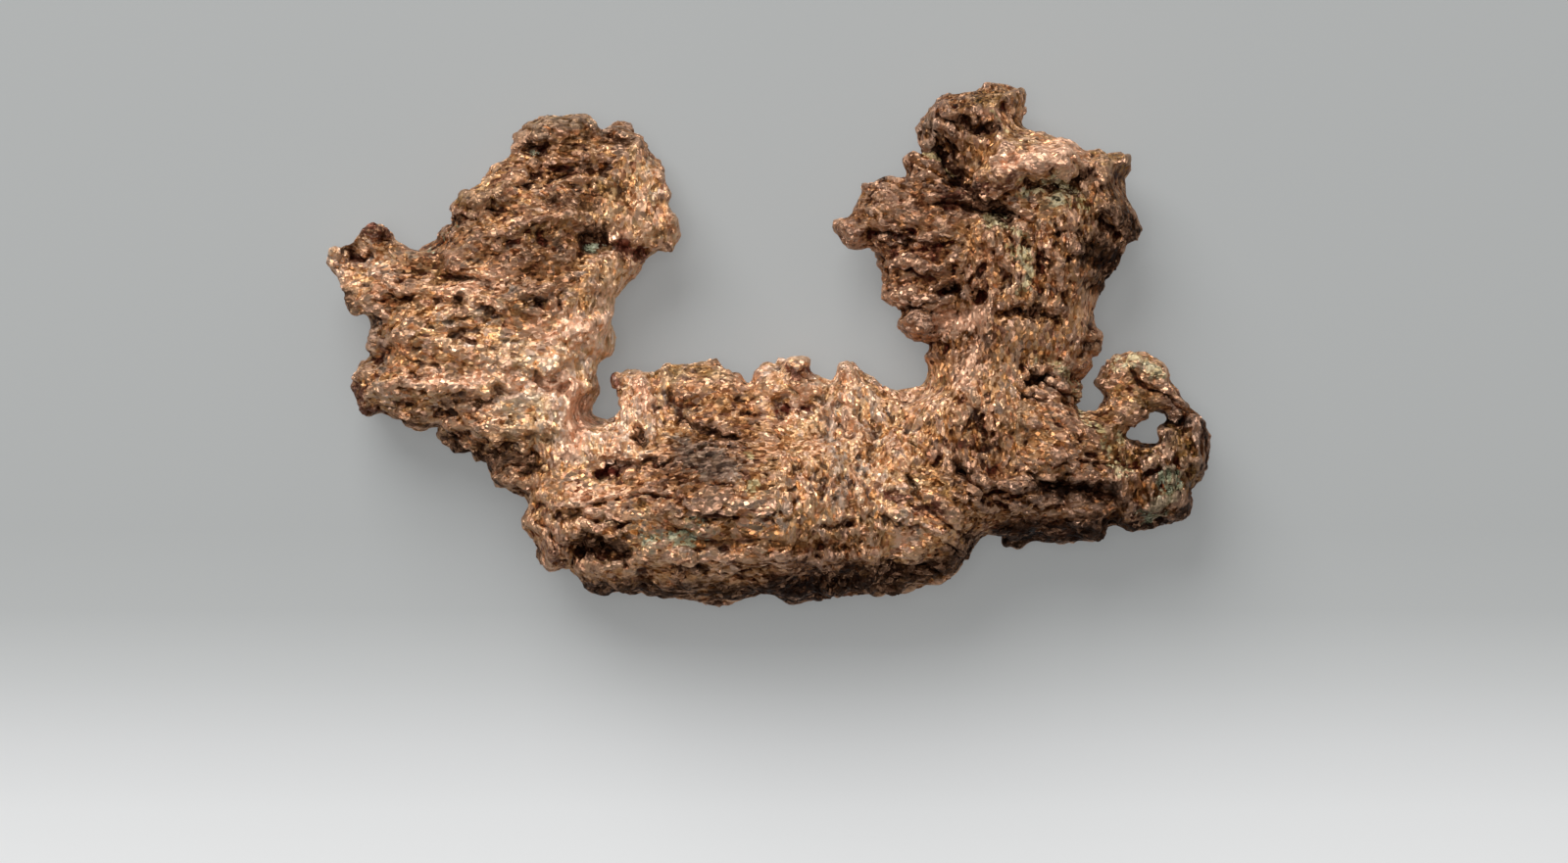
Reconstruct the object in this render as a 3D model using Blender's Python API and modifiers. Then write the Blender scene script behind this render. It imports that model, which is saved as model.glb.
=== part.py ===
"""A native copper nugget, lying on its back.

It is one natural piece of copper, so it is one solid: a flat slab in the nugget's outline, rounded at the
rims, with its lumps, ledges, knobs, pits and crevices. Seen from above, +X is its long way, and the gap
between its two arms opens towards +Y. It rests on the plane z = 0 on flats worn into its underside.

Places and sizes below are millimetres from the middle of its box, on a nugget 96 mm long.
"""

import math

import bpy
import bmesh
import numpy as np
from mathutils import Vector, kdtree, noise

LENGTH = 0.096         # metres, over the left ear and the loop: the driving size

NODE = "copper_nugget"
COLLECTION = "native_copper_nugget"

SLAB_THICKNESS = 16.0
SLAB_VOXEL = 0.45
SKIN_VOXEL = 0.45
TRIANGLES = 9600

# The outline seen from above, in stretches that follow each other clockwise from the left ear.
OUTLINE = {
    "left ear": [
        (-48, 8.7), (-47.6, 10), (-42.8, 12.5), (-41, 11.4), (-41.6, 10.9), (-39.1, 10.2),
    ],
    "left shoulder": [
        (-37.6, 10.5), (-35.9, 10.8), (-35, 12.6), (-34.4, 12.7), (-34.3, 14.9), (-33.2, 15.3),
        (-32.9, 16.3),
        (-31.4, 16.7),
    ],
    "left crest": [
        (-30.8, 17.6), (-28.2, 20.1), (-27.6, 21.9), (-25.9, 24.2), (-24.1, 25), (-19.9, 25.3),
        (-18.8, 24.2),
        (-18.3, 23.1),
    ],
    "crest notch and knob": [
        (-17.9, 23), (-16.5, 24.5), (-15.4, 24.4), (-13.4, 22.4), (-12.4, 20.5),
    ],
    "left arm inner edge": [
        (-11.8, 19.9), (-10.6, 18.4), (-10.7, 17.5), (-10.1, 15.9), (-10.5, 14.5), (-9.2, 13.5),
        (-9.9, 10.2),
        (-10.1, 9.8), (-12, 9.6), (-16, 5.2), (-16.4, 4.6), (-16.5, 2.1), (-16.2, 1.3), (-16.5, -0.5),
        (-16.9, -1.4), (-18.2, -2.2),
    ],
    "left notch": [
        (-18.2, -3.1), (-17.9, -5.1), (-19, -6.7), (-18.7, -8.1), (-16.3, -8), (-15.9, -7), (-16, -5.6),
        (-16.5, -4.4), (-16.2, -3.5),
    ],
    "bridge teeth": [
        (-15.7, -3.4), (-13.5, -2.9), (-12.2, -3), (-10.6, -2.2), (-9.9, -2.5), (-8.7, -2.2), (-8, -2.6),
        (-5.6, -2.4), (-3.9, -3.1), (-2.8, -3.1), (-2.5, -5.2), (-1.4, -5.2), (-0.8, -2.9), (1.3, -2.4),
        (1.9, -1.6), (2.8, -1.3), (4.9, -1.7), (5.2, -2.4), (5, -3.2), (6, -3.4), (6.4, -3.9),
        (7.4, -3.9), (8.1, -2.3), (9, -2.2), (9.9, -2.5), (11.1, -3.9), (12.1, -4.1),
    ],
    "cove": [
        (12.8, -4.9), (15.7, -5), (16.9, -4.7), (17.3, -3.8), (17.4, -2.5), (17, -1.7), (17.5, -0.2),
        (14.2, 1.5), (14, 2.5), (14.7, 3.3),
    ],
    "right arm inner edge": [
        (13.8, 3.7), (13.1, 4.1), (13.1, 5), (12.5, 5.9), (12.4, 9.2), (11.3, 10.6),
    ],
    "left knob": [
        (10.6, 10.2), (9.2, 10.1), (8.5, 10.6), (7.5, 13), (9.1, 14.1), (10.3, 16.1), (10.1, 16.9),
        (10.6, 17.4), (12.9, 18), (15.1, 17.8),
    ],
    "small knob": [
        (15.4, 18.4), (14.9, 19.8), (15.3, 20.5), (16.1, 20.7), (17.1, 20.2),
    ],
    "upper knob": [
        (17.1, 20.9), (16.5, 23.5), (17.1, 23.8), (18.8, 26.8), (23.1, 27.2), (24.9, 28.2), (27.7, 28.1),
        (28.2, 27.6), (28.2, 26.9), (27.2, 25.3), (28.1, 25), (28, 24.6), (27.2, 24.4),
    ],
    "crown": [
        (27.9, 23.8), (30.3, 23), (30.4, 22.5), (33.3, 21.7), (34.8, 20.4), (35.6, 20.4),
    ],
    "right knob": [
        (36.7, 20.8), (39.1, 21.1), (39.9, 20.5), (39.9, 18.7), (38.8, 18.1), (39.9, 15.2),
    ],
    "right lump": [
        (40.5, 14.7), (41, 12.8), (40.7, 11.8), (39.4, 10.5), (38.5, 8), (36.9, 6.6), (36.7, 5.8),
        (35.8, 5.5),
    ],
    "right arm outer edge": [
        (35.6, 4.7), (35.4, 3.5), (35.9, 2.8), (35.7, 1.8), (36.6, 1.3), (36.8, 0.5), (35.4, -1.3),
        (35.2, -2.1), (35, -2.9), (34.9, -3.5), (34.4, -3.8),
    ],
    "right notch": [
        (33.9, -4.2), (33.8, -7), (36.1, -7.8), (36, -7.1), (36.7, -6.8), (36.9, -5.9), (35.7, -4.2),
        (36.8, -3.3),
    ],
    "loop": [
        (36.9, -2.5), (39, -1.6), (39.6, -1), (43.1, -2.2), (44, -3), (45.7, -6.1), (47.8, -8.6),
        (48.1, -11.7), (48, -13.4), (47, -17.1), (45.8, -18.9), (42.9, -19.9), (39.5, -20.5), (37.8, -20.2),
        (37.6, -19.8),
    ],
    "right foot": [
        (37.2, -20.5), (36.6, -21.2), (35.6, -21.4), (34.9, -21), (31.8, -22.3), (29.1, -21.8), (27, -22.3),
        (25.3, -21),
    ],
    "bar underside": [
        (24, -21.2), (23.2, -21.7), (22, -23.8), (18.9, -26.4), (15.9, -27.1), (11.1, -27.2), (3.2, -28.4),
        (-2.6, -27.8), (-4.2, -28.2), (-8.7, -28.2), (-13.5, -27), (-14.2, -27.5), (-15.2, -27.5),
        (-15.9, -26.9),
        (-17.8, -27.2), (-18.8, -27), (-21, -25),
    ],
    "left foot": [
        (-21.4, -24.3), (-23.1, -25.1), (-24.8, -24), (-25.3, -21.7), (-26.5, -20), (-26.7, -19.1),
        (-25.9, -17.8),
        (-26, -16.5),
    ],
    "left arm outer edge": [
        (-26.4, -16.2), (-29, -15.7), (-30.3, -13.7), (-33.6, -11.4), (-35.4, -9.3), (-37.2, -9.8),
        (-41.4, -7.8),
        (-43, -8.1), (-43.9, -7.6), (-44.7, -4.6), (-43, -1.6), (-43.5, 0.7), (-43.2, 2), (-47.7, 7.7),
    ],
}
LOOP_HOLE = [
    (38.8, -10.3), (41, -11), (42.2, -10.9), (42.7, -10.5), (42.5, -9.4), (43.7, -8.5), (43.2, -7.6),
    (42.4, -7.5), (40.8, -8.3),
]
ARC_STEPS = 3          # points on the smooth curve for each point above
RIM_SPACING = 0.15     # between the points from which the distance to the outline is measured

# Height of the top, height of the underside over the ground, and rounding radius of the rim: (x, y, value).
TOP_HEIGHTS = {
    "left ear tip": (-46.6, 9.2, 9.5),
    "left ear bowl": (-44.2, 8.7, 7.5),
    "left ear root": (-40.8, 6.6, 9),
    "left shoulder": (-36.6, 7.1, 10.5),
    "left arm middle": (-32.3, 0.7, 12.5),
    "left arm heart": (-23.8, 3.4, 13),
    "lower left corner": (-42.4, -5.1, 9.5),
    "lower left": (-36.6, -5.6, 12.5),
    "lower left slope": (-29.1, -12, 10.5),
    "left arm root": (-21.7, -8.3, 12),
    "left arm upper": (-26, 13.5, 11.5),
    "left crest": (-23.3, 21.4, 9),
    "crest knob": (-15.4, 21.9, 8.5),
    "left arm inner side": (-12.4, 13.5, 9.5),
    "left arm inner waist": (-17.7, 2.3, 10),
    "neck": (-19.1, -13, 12),
    "bridge left": (-13.8, -5.1, 9),
    "bridge middle": (-5.8, -5.1, 9),
    "bridge right": (3.2, -4.6, 9.5),
    "bridge knob": (9, -4.6, 9.5),
    "bridge end": (14.8, -7.2, 11),
    "bar left end": (-22.3, -19.9, 13.5),
    "left foot": (-23.8, -23.3, 11),
    "bar left": (-14.3, -17.8, 16),
    "bar middle left": (-4.8, -17.8, 17.5),
    "bar middle": (4.8, -17.3, 18),
    "bar middle right": (14.3, -17.3, 17.5),
    "bar right": (21.7, -15.7, 15.5),
    "bar low left": (-17.5, -25.2, 12),
    "bar low middle": (-4.8, -25.2, 14),
    "bar low right": (8, -25.2, 14),
    "bar low end": (18, -24.2, 13),
    "right arm root": (22.8, -8.8, 13.5),
    "right root outer": (30.7, -8.8, 13),
    "right foot upper": (32.3, -17.3, 12.5),
    "right foot": (31.3, -20.8, 9.5),
    "loop bottom": (40.8, -15.7, 11.5),
    "loop corner": (45.4, -16.2, 10),
    "loop outer side": (46.5, -10.4, 9.5),
    "loop crown": (41.9, -3.8, 9.5),
    "loop inner side": (37.8, -6.1, 9),
    "right arm inner": (18, 2.3, 11),
    "right arm middle": (27, 2.3, 12.5),
    "right arm outer": (34.2, 2.3, 11),
    "right arm upper inner": (15.4, 13.5, 11),
    "left knob": (9.4, 12.3, 8.5),
    "crown": (29.1, 18.8, 15.5),
    "crown hollow": (23.3, 16.6, 11.5),
    "upper knob": (21.5, 24.4, 14),
    "upper knob end": (26.6, 26.7, 12.5),
    "right knob": (38.3, 19.5, 11.5),
    "right lump": (38.5, 12.9, 13),
    "crown foot": (29.7, 11.3, 14),
}
UNDERSIDE_GAPS = {
    "left ear": (-45.9, 8.7, 4),
    "left arm": (-33.4, -1.9, -3),
    "left arm upper": (-23.8, 12.9, 0.2),
    "left crest": (-20.7, 22.5, 3.2),
    "inner side": (-12.2, 12.9, 3),
    "lower left": (-40.8, -6.1, 2),
    "lower slope": (-30.2, -11.4, 2.2),
    "neck": (-19.6, -12.5, 1.6),
    "bridge": (-6.9, -5.1, 3.5),
    "bridge right": (6.9, -4.6, 3.5),
    "bar left": (-15.4, -18.9, 0.8),
    "bar": (-0.5, -17.8, -1),
    "bar right": (14.3, -17.8, 0.4),
    "left foot": (-23.6, -23.3, 4),
    "right root": (24.9, -8.3, 1.2),
    "right foot": (31.3, -15.7, -2.4),
    "loop": (42.9, -4, 4),
    "loop outer": (46.6, -11.4, 3.2),
    "loop bottom": (41.9, -16.7, 2),
    "right arm": (24.9, 3.4, 1.5),
    "left knob": (9.5, 12.4, 4.5),
    "crown": (28.1, 16.1, -4),
    "upper knob": (21.7, 25.1, 3.5),
    "right knob": (38.3, 19.8, 4.5),
    "right lump": (38.7, 12.4, 3),
}
RIM_RADII = {
    "left ear": (-46.6, 9.2, 2.8),
    "left shoulder": (-37.6, 8.7, 3.2),
    "left crest": (-23.8, 23.5, 3.4),
    "inner side": (-10.1, 14, 3.2),
    "inner waist": (-16.4, 2.3, 3.2),
    "lower left": (-43.5, -5.1, 4.5),
    "lower slope": (-36.6, -9.3, 5),
    "lower slope end": (-29.1, -14.6, 5),
    "left foot": (-24.9, -23.6, 4),
    "bridge": (-9, -3, 2.4),
    "bridge right": (6.9, -3.5, 2.4),
    "cove": (15.4, -4, 3),
    "bar low": (-9, -27.3, 6),
    "bar low middle": (1.6, -27.6, 7),
    "bar low end": (16.4, -26.3, 6.5),
    "right foot": (31.3, -21.5, 4.2),
    "loop bottom": (41.9, -19.9, 3.5),
    "loop outer": (47.7, -11.4, 3),
    "loop crown": (41.9, -1.9, 3),
    "loop inner": (36.6, -5.1, 2.8),
    "right outer": (36, 2.3, 3.6),
    "right lump": (40.8, 12.9, 4),
    "right knob": (39.2, 20.4, 2.8),
    "crown": (31.3, 21.9, 4),
    "upper knob": (20.7, 26.7, 4),
    "left knob": (8.2, 12.4, 3),
    "right inner": (12.7, 6.6, 3.4),
}
TOP_BLEND = 4.5        # how far an anchor's value reaches
UNDER_BLEND = 7.0
RIM_BLEND = 6.0
EDGE_THICKNESS = 1.8   # of the rim's outermost edge
RIM_LEVEL = 0.45       # height of the rim between underside and top
RIM_WANDER = 0.34      # how far that height wanders along the outline
RADIUS_WANDER = 0.55   # how far the rim's radius wanders, as a share of it
WANDER_SIZE = 5.5

# Lumps and ledges (height over 0) and pits and crevices (under 0): (half width, height, places along it).
RELIEF = {
    "ear rim": (0.7, 1.6, [(-47.6, 9.3), (-46.4, 10.6), (-44.5, 11.4), (-42.1, 12.1)]),
    "ear wall": (0.7, 1, [(-47.8, 8.5), (-46.6, 6.4), (-45.3, 4.9)]),
    "ear bowl": (1.0, -2, [(-45, 9.1), (-43.8, 8.7)]),
    "crest lobe": (1.3, 1, [(-23.8, 23.5), (-20.7, 24)]),
    "crest pit": (0.8, -1.5, [(-25.4, 21.2), (-24.3, 21.1)]),
    "crest knob pits": (0.6, -1, [(-17.3, 22.3), (-15.2, 21.8)]),
    "shoulder shelf": (0.8, 1.1, [(-32.8, 15.5), (-30.5, 15.8), (-28.1, 16.1)]),
    "shoulder crevice": (0.5, -0.9, [(-33.8, 12.9), (-31.3, 13.6), (-28.1, 14.4)]),
    "upper ledge": (1.0, 0.9, [(-33.4, 9.5), (-29.1, 11.4), (-25.1, 12.7), (-20.7, 13.4)]),
    "inner lumps": (1.0, 1, [(-10.7, 18.4), (-10.5, 15.6), (-9.9, 12.7)]),
    "hollow": (1.4, -2.4, [(-19, 10.6), (-17.7, 11)]),
    "inner crevice": (0.4, -1, [(-16.6, 10.8), (-14.5, 10), (-12.7, 9.3)]),
    "middle ledge": (1.0, 1, [(-41.7, 5.5), (-37.6, 5.9), (-33.4, 4.9), (-28.1, 3.6)]),
    "middle crevice": (0.5, -1.2, [(-35.5, 4), (-32.5, 4), (-28.1, 2.3)]),
    "middle pit": (0.6, -1.3, [(-24.3, 4.6), (-21.9, 4.3)]),
    "waist ledge": (1.0, 0.8, [(-22.8, 0.4), (-19.6, 1.3), (-17.3, 2.3)]),
    "lower ledge": (1.1, 1, [(-41.7, 0), (-37.6, 0.8), (-33.4, -1.1), (-28.1, -2.1), (-22.8, -2.1)]),
    "sliver pit": (0.5, -1.2, [(-32.4, 0.2), (-31.9, 0)]),
    "long crevice": (0.4, -1,
        [(-35, -7), (-33.4, -6.1), (-30.2, -6.4), (-28.1, -5.5), (-24.9, -4.9), (-21.7, -5.1)]),
    "lower ledge two": (1.0, 1, [(-40.8, -5.1), (-36.6, -4.5), (-32.3, -4.9), (-28.1, -4)]),
    "corner knob": (1.3, 1.3, [(-43.4, -5.3), (-42.9, -6.4)]),
    "slope ledge": (0.8, 1, [(-36.6, -8.1), (-32.3, -9.3), (-28.1, -9.8), (-23.8, -9.3)]),
    "slope crevice": (0.7, -1.3, [(-34.2, -11), (-30.2, -12.1), (-24.9, -12.5)]),
    "slope foot": (0.7, 0.9, [(-29.7, -14.6), (-27, -15.3), (-25.4, -15.5)]),
    "neck ridge": (0.6, 0.9, [(-21.3, -4.2), (-20, -7.2), (-19.2, -10.6), (-18.3, -12.5)]),
    "neck ridge two": (0.5, 0.7, [(-23.2, -6.1), (-21.9, -9.3), (-20.7, -12.3)]),
    "notch rim": (0.5, 0.8, [(-15.8, -4.2), (-15.2, -6.4), (-15.4, -8.5)]),
    "bridge fold": (0.6, 0.8, [(-13, -3.6), (-12.6, -7.2), (-11.8, -10)]),
    "bridge hollow": (1.3, -1, [(-10.7, -6.6), (-8.6, -7.2)]),
    "bridge pit": (0.5, -2.4, [(-13.4, -10), (-13.1, -10.8)]),
    "bridge crack": (0.4, -1, [(-3, -5.9), (-2.2, -7.5)]),
    "red pit": (0.7, -2, [(-17.7, -14), (-15.4, -13.8)]),
    "bar crevice left": (0.4, -1.2, [(-17.3, -13.1), (-13.8, -13.4), (-10.3, -12.9)]),
    "bar crevice upper": (0.5, -1.2, [(-9, -8.9), (-6.7, -9.6), (-3.5, -10.6)]),
    "bridge hollow right": (1.0, -1.5, [(2, -6.8), (3.9, -7.2)]),
    "first tooth": (1.2, 1.8, [(2.6, -2.3), (4.3, -2.5)]),
    "second tooth": (1.0, 1.5, [(8.4, -3.2), (9.9, -3.6)]),
    "bar fold one": (0.7, 1, [(6.9, -7), (7.5, -10.4), (7.1, -14.2), (8.2, -18.2)]),
    "bar fold two": (0.6, 0.9, [(9.2, -6.4), (10.1, -10), (9.6, -13.8), (10.7, -17.8)]),
    "bar fold three": (0.6, 0.8, [(12.2, -6.6), (13.7, -9.8), (14.3, -13.6)]),
    "bar ledge": (1.0, 1, [(-10.1, -17.8), (-4.8, -17), (0.5, -17.8), (4.8, -17.4)]),
    "bar crevice middle": (0.5, -1, [(-22.2, -18.7), (-19, -18.7), (-15.4, -19.7)]),
    "big cavity": (1.3, -3, [(-19.2, -22), (-17.3, -21.8), (-15.6, -21.8)]),
    "bar ledge low": (0.8, 1, [(-12.2, -22), (-6.9, -23.3), (-0.5, -22.7), (5.8, -23.5), (12.2, -22.7)]),
    "bar pit low": (0.6, -1.3, [(-8.6, -24), (-7.3, -24)]),
    "bar slit": (0.4, -1, [(6.1, -19.9), (8.6, -19.5)]),
    "foot fold": (0.7, 1, [(-25.4, -19.3), (-23.8, -21.2), (-22.6, -23.3)]),
    "foot crevice": (0.4, -0.9, [(-24.3, -19.3), (-22.6, -21.2), (-21.3, -22.7)]),
    "round pit": (1.0, -2.6, [(21, -14), (21.4, -14.2)]),
    "small red pit": (0.5, -1.3, [(17.9, -13.2), (18.2, -13.5)]),
    "striation one": (0.4, 0.8, [(12.7, -15.7), (15.9, -16.5), (18.8, -18)]),
    "striation two": (0.4, 0.8, [(13.5, -18.9), (16.4, -19.3), (19.2, -20.8)]),
    "inner arm crevice": (0.4, -1, [(11.7, 11.4), (14.1, 11.7), (16.4, 11.7)]),
    "inner arm pit": (0.6, -1.4, [(15.2, 10.4), (15.8, 10.3)]),
    "inner arm ledge one": (0.6, 0.9, [(12.8, 8.3), (15.9, 8.5), (18.8, 8.1)]),
    "inner arm ledge two": (0.6, 0.9, [(13.2, 5.1), (15.9, 5.3), (18.6, 4.9)]),
    "arm pit": (0.7, -1.6, [(19.2, 5.3), (20.2, 5.7)]),
    "arm pit two": (0.5, -1.2, [(22.8, 4.7), (23.4, 4.7)]),
    "inner arm lump": (1.3, 1, [(14.5, 1.9), (16.6, 1.5)]),
    "knob pits": (0.5, -1.2, [(18.8, 24), (21.2, 23.8), (23.8, 22.8)]),
    "knob notch": (0.6, -1.2, [(25.5, 25.7), (26, 25)]),
    "crown lump": (2.1, 3.2, [(25.8, 18.2), (29.4, 19.3), (33, 20.4)]),
    "crown trough": (1.0, -3.2, [(18.9, 20.7), (21.1, 17.2), (22.8, 14.6), (26, 13.4)]),
    "crown shadow": (0.7, -1.5, [(28.9, 16.7), (32.3, 16.5), (34.4, 17.4)]),
    "red lump": (1.3, 1.2, [(23.8, 16.1), (25.3, 16.5)]),
    "pink bump": (1.0, 1, [(36.8, 14.6), (37.4, 14.4)]),
    "black pit": (1.1, -2.4, [(36.4, 12.7), (36.8, 12.3)]),
    "black hollow": (1.6, -1.6, [(35.9, 8.9), (37, 8.5)]),
    "arm ridge": (0.8, 1, [(23.8, 11.3), (26, 8.2), (27, 4.5)]),
    "arm ridge two": (0.7, 0.9, [(30.2, 10.8), (31.5, 7.1), (31.1, 3.4)]),
    "arm crevice": (0.5, -1, [(26, 2.8), (28.6, 3.2), (31.3, 2.5)]),
    "arm crevice two": (0.4, -0.9, [(30.7, 11.6), (33, 11.8)]),
    "dark hollow": (0.7, -1.4, [(34.2, 0), (35.7, -0.4)]),
    "slot one": (0.6, -1.5, [(28.3, -4.5), (30.6, -4)]),
    "slot two": (0.4, -1.2, [(27.6, -6.4), (30.2, -6.1)]),
    "slot three": (0.5, -1, [(33.1, -4), (33.7, -4)]),
    "root fold": (0.7, 0.9, [(21.7, -5.1), (23.8, -7.2), (24.5, -10.4)]),
    "root bump": (0.8, 1, [(28.3, -8.5), (28.9, -8.7)]),
    "root bump two": (0.8, 1, [(31.1, -11.9), (31.7, -12.3)]),
    "foot band": (0.8, -1.5, [(29.1, -14.8), (32.3, -15.7), (36.1, -16.3)]),
    "foot lump": (1.0, 1, [(29.1, -20.5), (30.6, -20.8)]),
    "foot lump two": (0.8, 1, [(34.2, -20.4), (35.3, -20.5)]),
    "loop rim": (0.8, 0.9,
        [(37.6, -3.2), (40.3, -2.3), (42.9, -3.4), (44.8, -6.1), (46.7, -9.3), (47, -13.6)]),
    "loop hollow": (0.6, -1.1, [(43.6, -8.9), (45, -8.7)]),
    "loop pits": (0.5, -0.9, [(41, -14.4), (42.3, -14.4)]),
    "loop pit": (0.5, -0.9, [(44.3, -13.4), (44.7, -13.5)]),
}

# Rough lumps all over: (size, height, seed). Along the left arm and the bar they are drawn out in X.
LUMPS = [(8.0, 1.1, 1), (4.2, 0.9, 2), (2.4, 0.55, 3)]
LUMP_STRETCH = 1.8
STRETCH_ENDS_AT = (12.0, 26.0)    # in X: from drawn out to even
RIM_SHARE = 0.12       # of the lumps' sideways height that is left on the rim, so that the outline stays
RIM_WIDTH = 2.5
WALL_BITES = (3.2, 1.3, 5)        # size, depth and seed of the hollows bitten into the steep sides
OUTWARD = 0.2          # how far the sides stand out, to make up for the bites

WORN_FLAT = 0.1        # what lies lower than this is worn flat

COPPER_COLOUR = (0.48, 0.235, 0.145, 1.0)
COPPER_ROUGHNESS = 0.42
COPPER_METALLIC = 0.85


def clear_scene():
    for old in list(bpy.data.objects):
        bpy.data.objects.remove(old, do_unlink=True)


def smooth_loop(points):
    """Points on a Catmull-Rom curve through the closed loop of points."""
    p = np.array(points, dtype=float)
    before, after, beyond = np.roll(p, 1, 0), np.roll(p, -1, 0), np.roll(p, -2, 0)
    steps = []
    for k in range(ARC_STEPS):
        t = k / ARC_STEPS
        steps.append(0.5 * (2 * p + (after - before) * t + (2 * before - 5 * p + 4 * after - beyond) * t**2
                            + (3 * p - before - 3 * after + beyond) * t**3))
    return np.stack(steps, 1).reshape(-1, 2)


def outline_loops():
    outer = [point for stretch in OUTLINE.values() for point in stretch]
    return [smooth_loop(outer), smooth_loop(LOOP_HOLE)]


def slab_mesh(loops):
    """The slab in the nugget's outline, its loop's hole cut through, as an even mesh of small quads."""
    curve = bpy.data.curves.new("outline", "CURVE")
    curve.dimensions = "2D"
    curve.fill_mode = "BOTH"
    curve.extrude = SLAB_THICKNESS / 2
    for loop in loops:
        spline = curve.splines.new("POLY")
        spline.points.add(len(loop) - 1)
        flat = np.column_stack([loop, np.zeros(len(loop)), np.ones(len(loop))])
        spline.points.foreach_set("co", flat.ravel())
        spline.use_cyclic_u = True
    guide = bpy.data.objects.new("outline", curve)
    bpy.context.collection.objects.link(guide)
    mesh = bpy.data.meshes.new_from_object(guide.evaluated_get(bpy.context.evaluated_depsgraph_get()))
    bpy.data.objects.remove(guide)
    bm = bmesh.new()
    bm.from_mesh(mesh)
    bmesh.ops.remove_doubles(bm, verts=bm.verts, dist=0.001)
    bmesh.ops.recalc_face_normals(bm, faces=bm.faces)
    bm.to_mesh(mesh)
    bm.free()
    return remeshed(mesh, SLAB_VOXEL)


def with_modifier(mesh, kind, **settings):
    """The mesh with one modifier applied."""
    carrier = bpy.data.objects.new("carrier", mesh)
    bpy.context.collection.objects.link(carrier)
    modifier = carrier.modifiers.new(kind, kind)
    for name, value in settings.items():
        setattr(modifier, name, value)
    result = bpy.data.meshes.new_from_object(carrier.evaluated_get(bpy.context.evaluated_depsgraph_get()))
    bpy.data.objects.remove(carrier)
    return result


def remeshed(mesh, voxel):
    return with_modifier(mesh, "REMESH", mode="VOXEL", voxel_size=voxel)


def vertices(mesh):
    co = np.empty(len(mesh.vertices) * 3)
    mesh.vertices.foreach_get("co", co)
    return co.reshape(-1, 3)


def normals(mesh):
    no = np.empty(len(mesh.vertices) * 3)
    mesh.vertices.foreach_get("normal", no)
    return no.reshape(-1, 3)


def move_vertices(mesh, co):
    mesh.vertices.foreach_set("co", co.ravel())
    mesh.update()


def blended(anchors, co, reach):
    """The anchors' values at each point, weighted by nearness."""
    total = np.zeros(len(co))
    weights = np.full(len(co), 1e-12)
    for x, y, value in anchors.values():
        weight = np.exp(-((co[:, 0] - x) ** 2 + (co[:, 1] - y) ** 2) / (2 * reach**2))
        total += weight * value
        weights += weight
    return total / weights


def rim_distance(loops, co):
    """Distance of each point to the outline, seen from above."""
    samples = []
    for loop in loops:
        for a, b in zip(loop, np.roll(loop, -1, 0)):
            count = max(1, math.ceil(np.hypot(*(b - a)) / RIM_SPACING))
            samples += [a + (b - a) * k / count for k in range(count)]
    tree = kdtree.KDTree(len(samples))
    for index, (x, y) in enumerate(samples):
        tree.insert((x, y, 0.0), index)
    tree.balance()
    return np.array([tree.find((x, y, 0.0))[2] for x, y in co[:, :2]])


def lumpy(co, size, seed):
    """Smooth noise with lumps of about the given size, from -1 to 1."""
    origin = Vector((seed * 31.7, seed * 12.9, seed * 7.3))
    return np.array([noise.noise(Vector(p) / size + origin) for p in co])


def rounded(co, distance):
    """The slab's points moved between the nugget's underside and top, with rounded rims."""
    flat = co * (1, 1, 0)
    top = blended(TOP_HEIGHTS, co, TOP_BLEND)
    under = blended(UNDERSIDE_GAPS, co, UNDER_BLEND)
    radius = blended(RIM_RADII, co, RIM_BLEND) * (1 + RADIUS_WANDER * lumpy(flat, WANDER_SIZE, 8))
    inward = np.clip(distance / radius, 0, 1)
    fullness = np.sqrt(1 - (1 - inward) ** 2)
    middle = under + (RIM_LEVEL + RIM_WANDER * lumpy(flat, WANDER_SIZE, 9)) * (top - under)
    half_edge = EDGE_THICKNESS / 2
    up = half_edge + (top - middle - half_edge) * fullness
    down = half_edge + (middle - under - half_edge) * fullness
    level = np.clip(co[:, 2] / (SLAB_THICKNESS / 2), -1, 1)
    shaped = co.copy()
    shaped[:, 2] = middle + np.where(level > 0, level * up, level * down)
    return shaped


def along(places, co):
    """Distance from each point to the line through the places, seen from above."""
    nearest = np.full(len(co), np.inf)
    for a, b in zip(places, places[1:]):
        a, b = np.array(a), np.array(b)
        way = b - a
        share = np.clip(((co[:, :2] - a) @ way) / (way @ way), 0, 1)
        nearest = np.minimum(nearest, np.hypot(*(co[:, :2] - a - share[:, None] * way).T))
    return nearest


def with_relief(co, facing):
    """Named lumps, ledges, pits and crevices on the top."""
    raised = np.zeros(len(co))
    for half_width, height, places in RELIEF.values():
        raised += height * np.exp(-((along(places, co) / half_width) ** 2))
    moved = co.copy()
    moved[:, 2] += raised * np.clip(facing[:, 2] * 2, 0, 1)
    return moved


def rough(co, facing, distance):
    """Rough lumps all over, lower on the rims."""
    start, end = STRETCH_ENDS_AT
    even = np.clip((co[:, 0] - start) / (end - start), 0, 1)
    stretch = LUMP_STRETCH + (1 - LUMP_STRETCH) * even
    sampled = co * np.column_stack([1 / stretch, np.ones(len(co)), np.ones(len(co))])
    height = sum(amount * lumpy(sampled, size, seed) for size, amount, seed in LUMPS)
    sideways = RIM_SHARE + (1 - RIM_SHARE) * np.clip(distance / RIM_WIDTH, 0, 1)
    share = np.column_stack([sideways, sideways, np.ones(len(co))])
    bite_size, bite_depth, bite_seed = WALL_BITES
    bites = bite_depth * np.clip(0.5 - 0.8 * lumpy(co, bite_size, bite_seed), 0, 1) - OUTWARD
    walls = facing * (1, 1, 0)
    return co + facing * height[:, None] * share - walls * bites[:, None]


def placed(co):
    """The points in metres, the nugget LENGTH long, the middle of its box over the origin."""
    low, high = co.min(0), co.max(0)
    middle = (low + high) / 2
    middle[2] = 0
    return (co - middle) * (LENGTH / (high[0] - low[0]))


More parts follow.
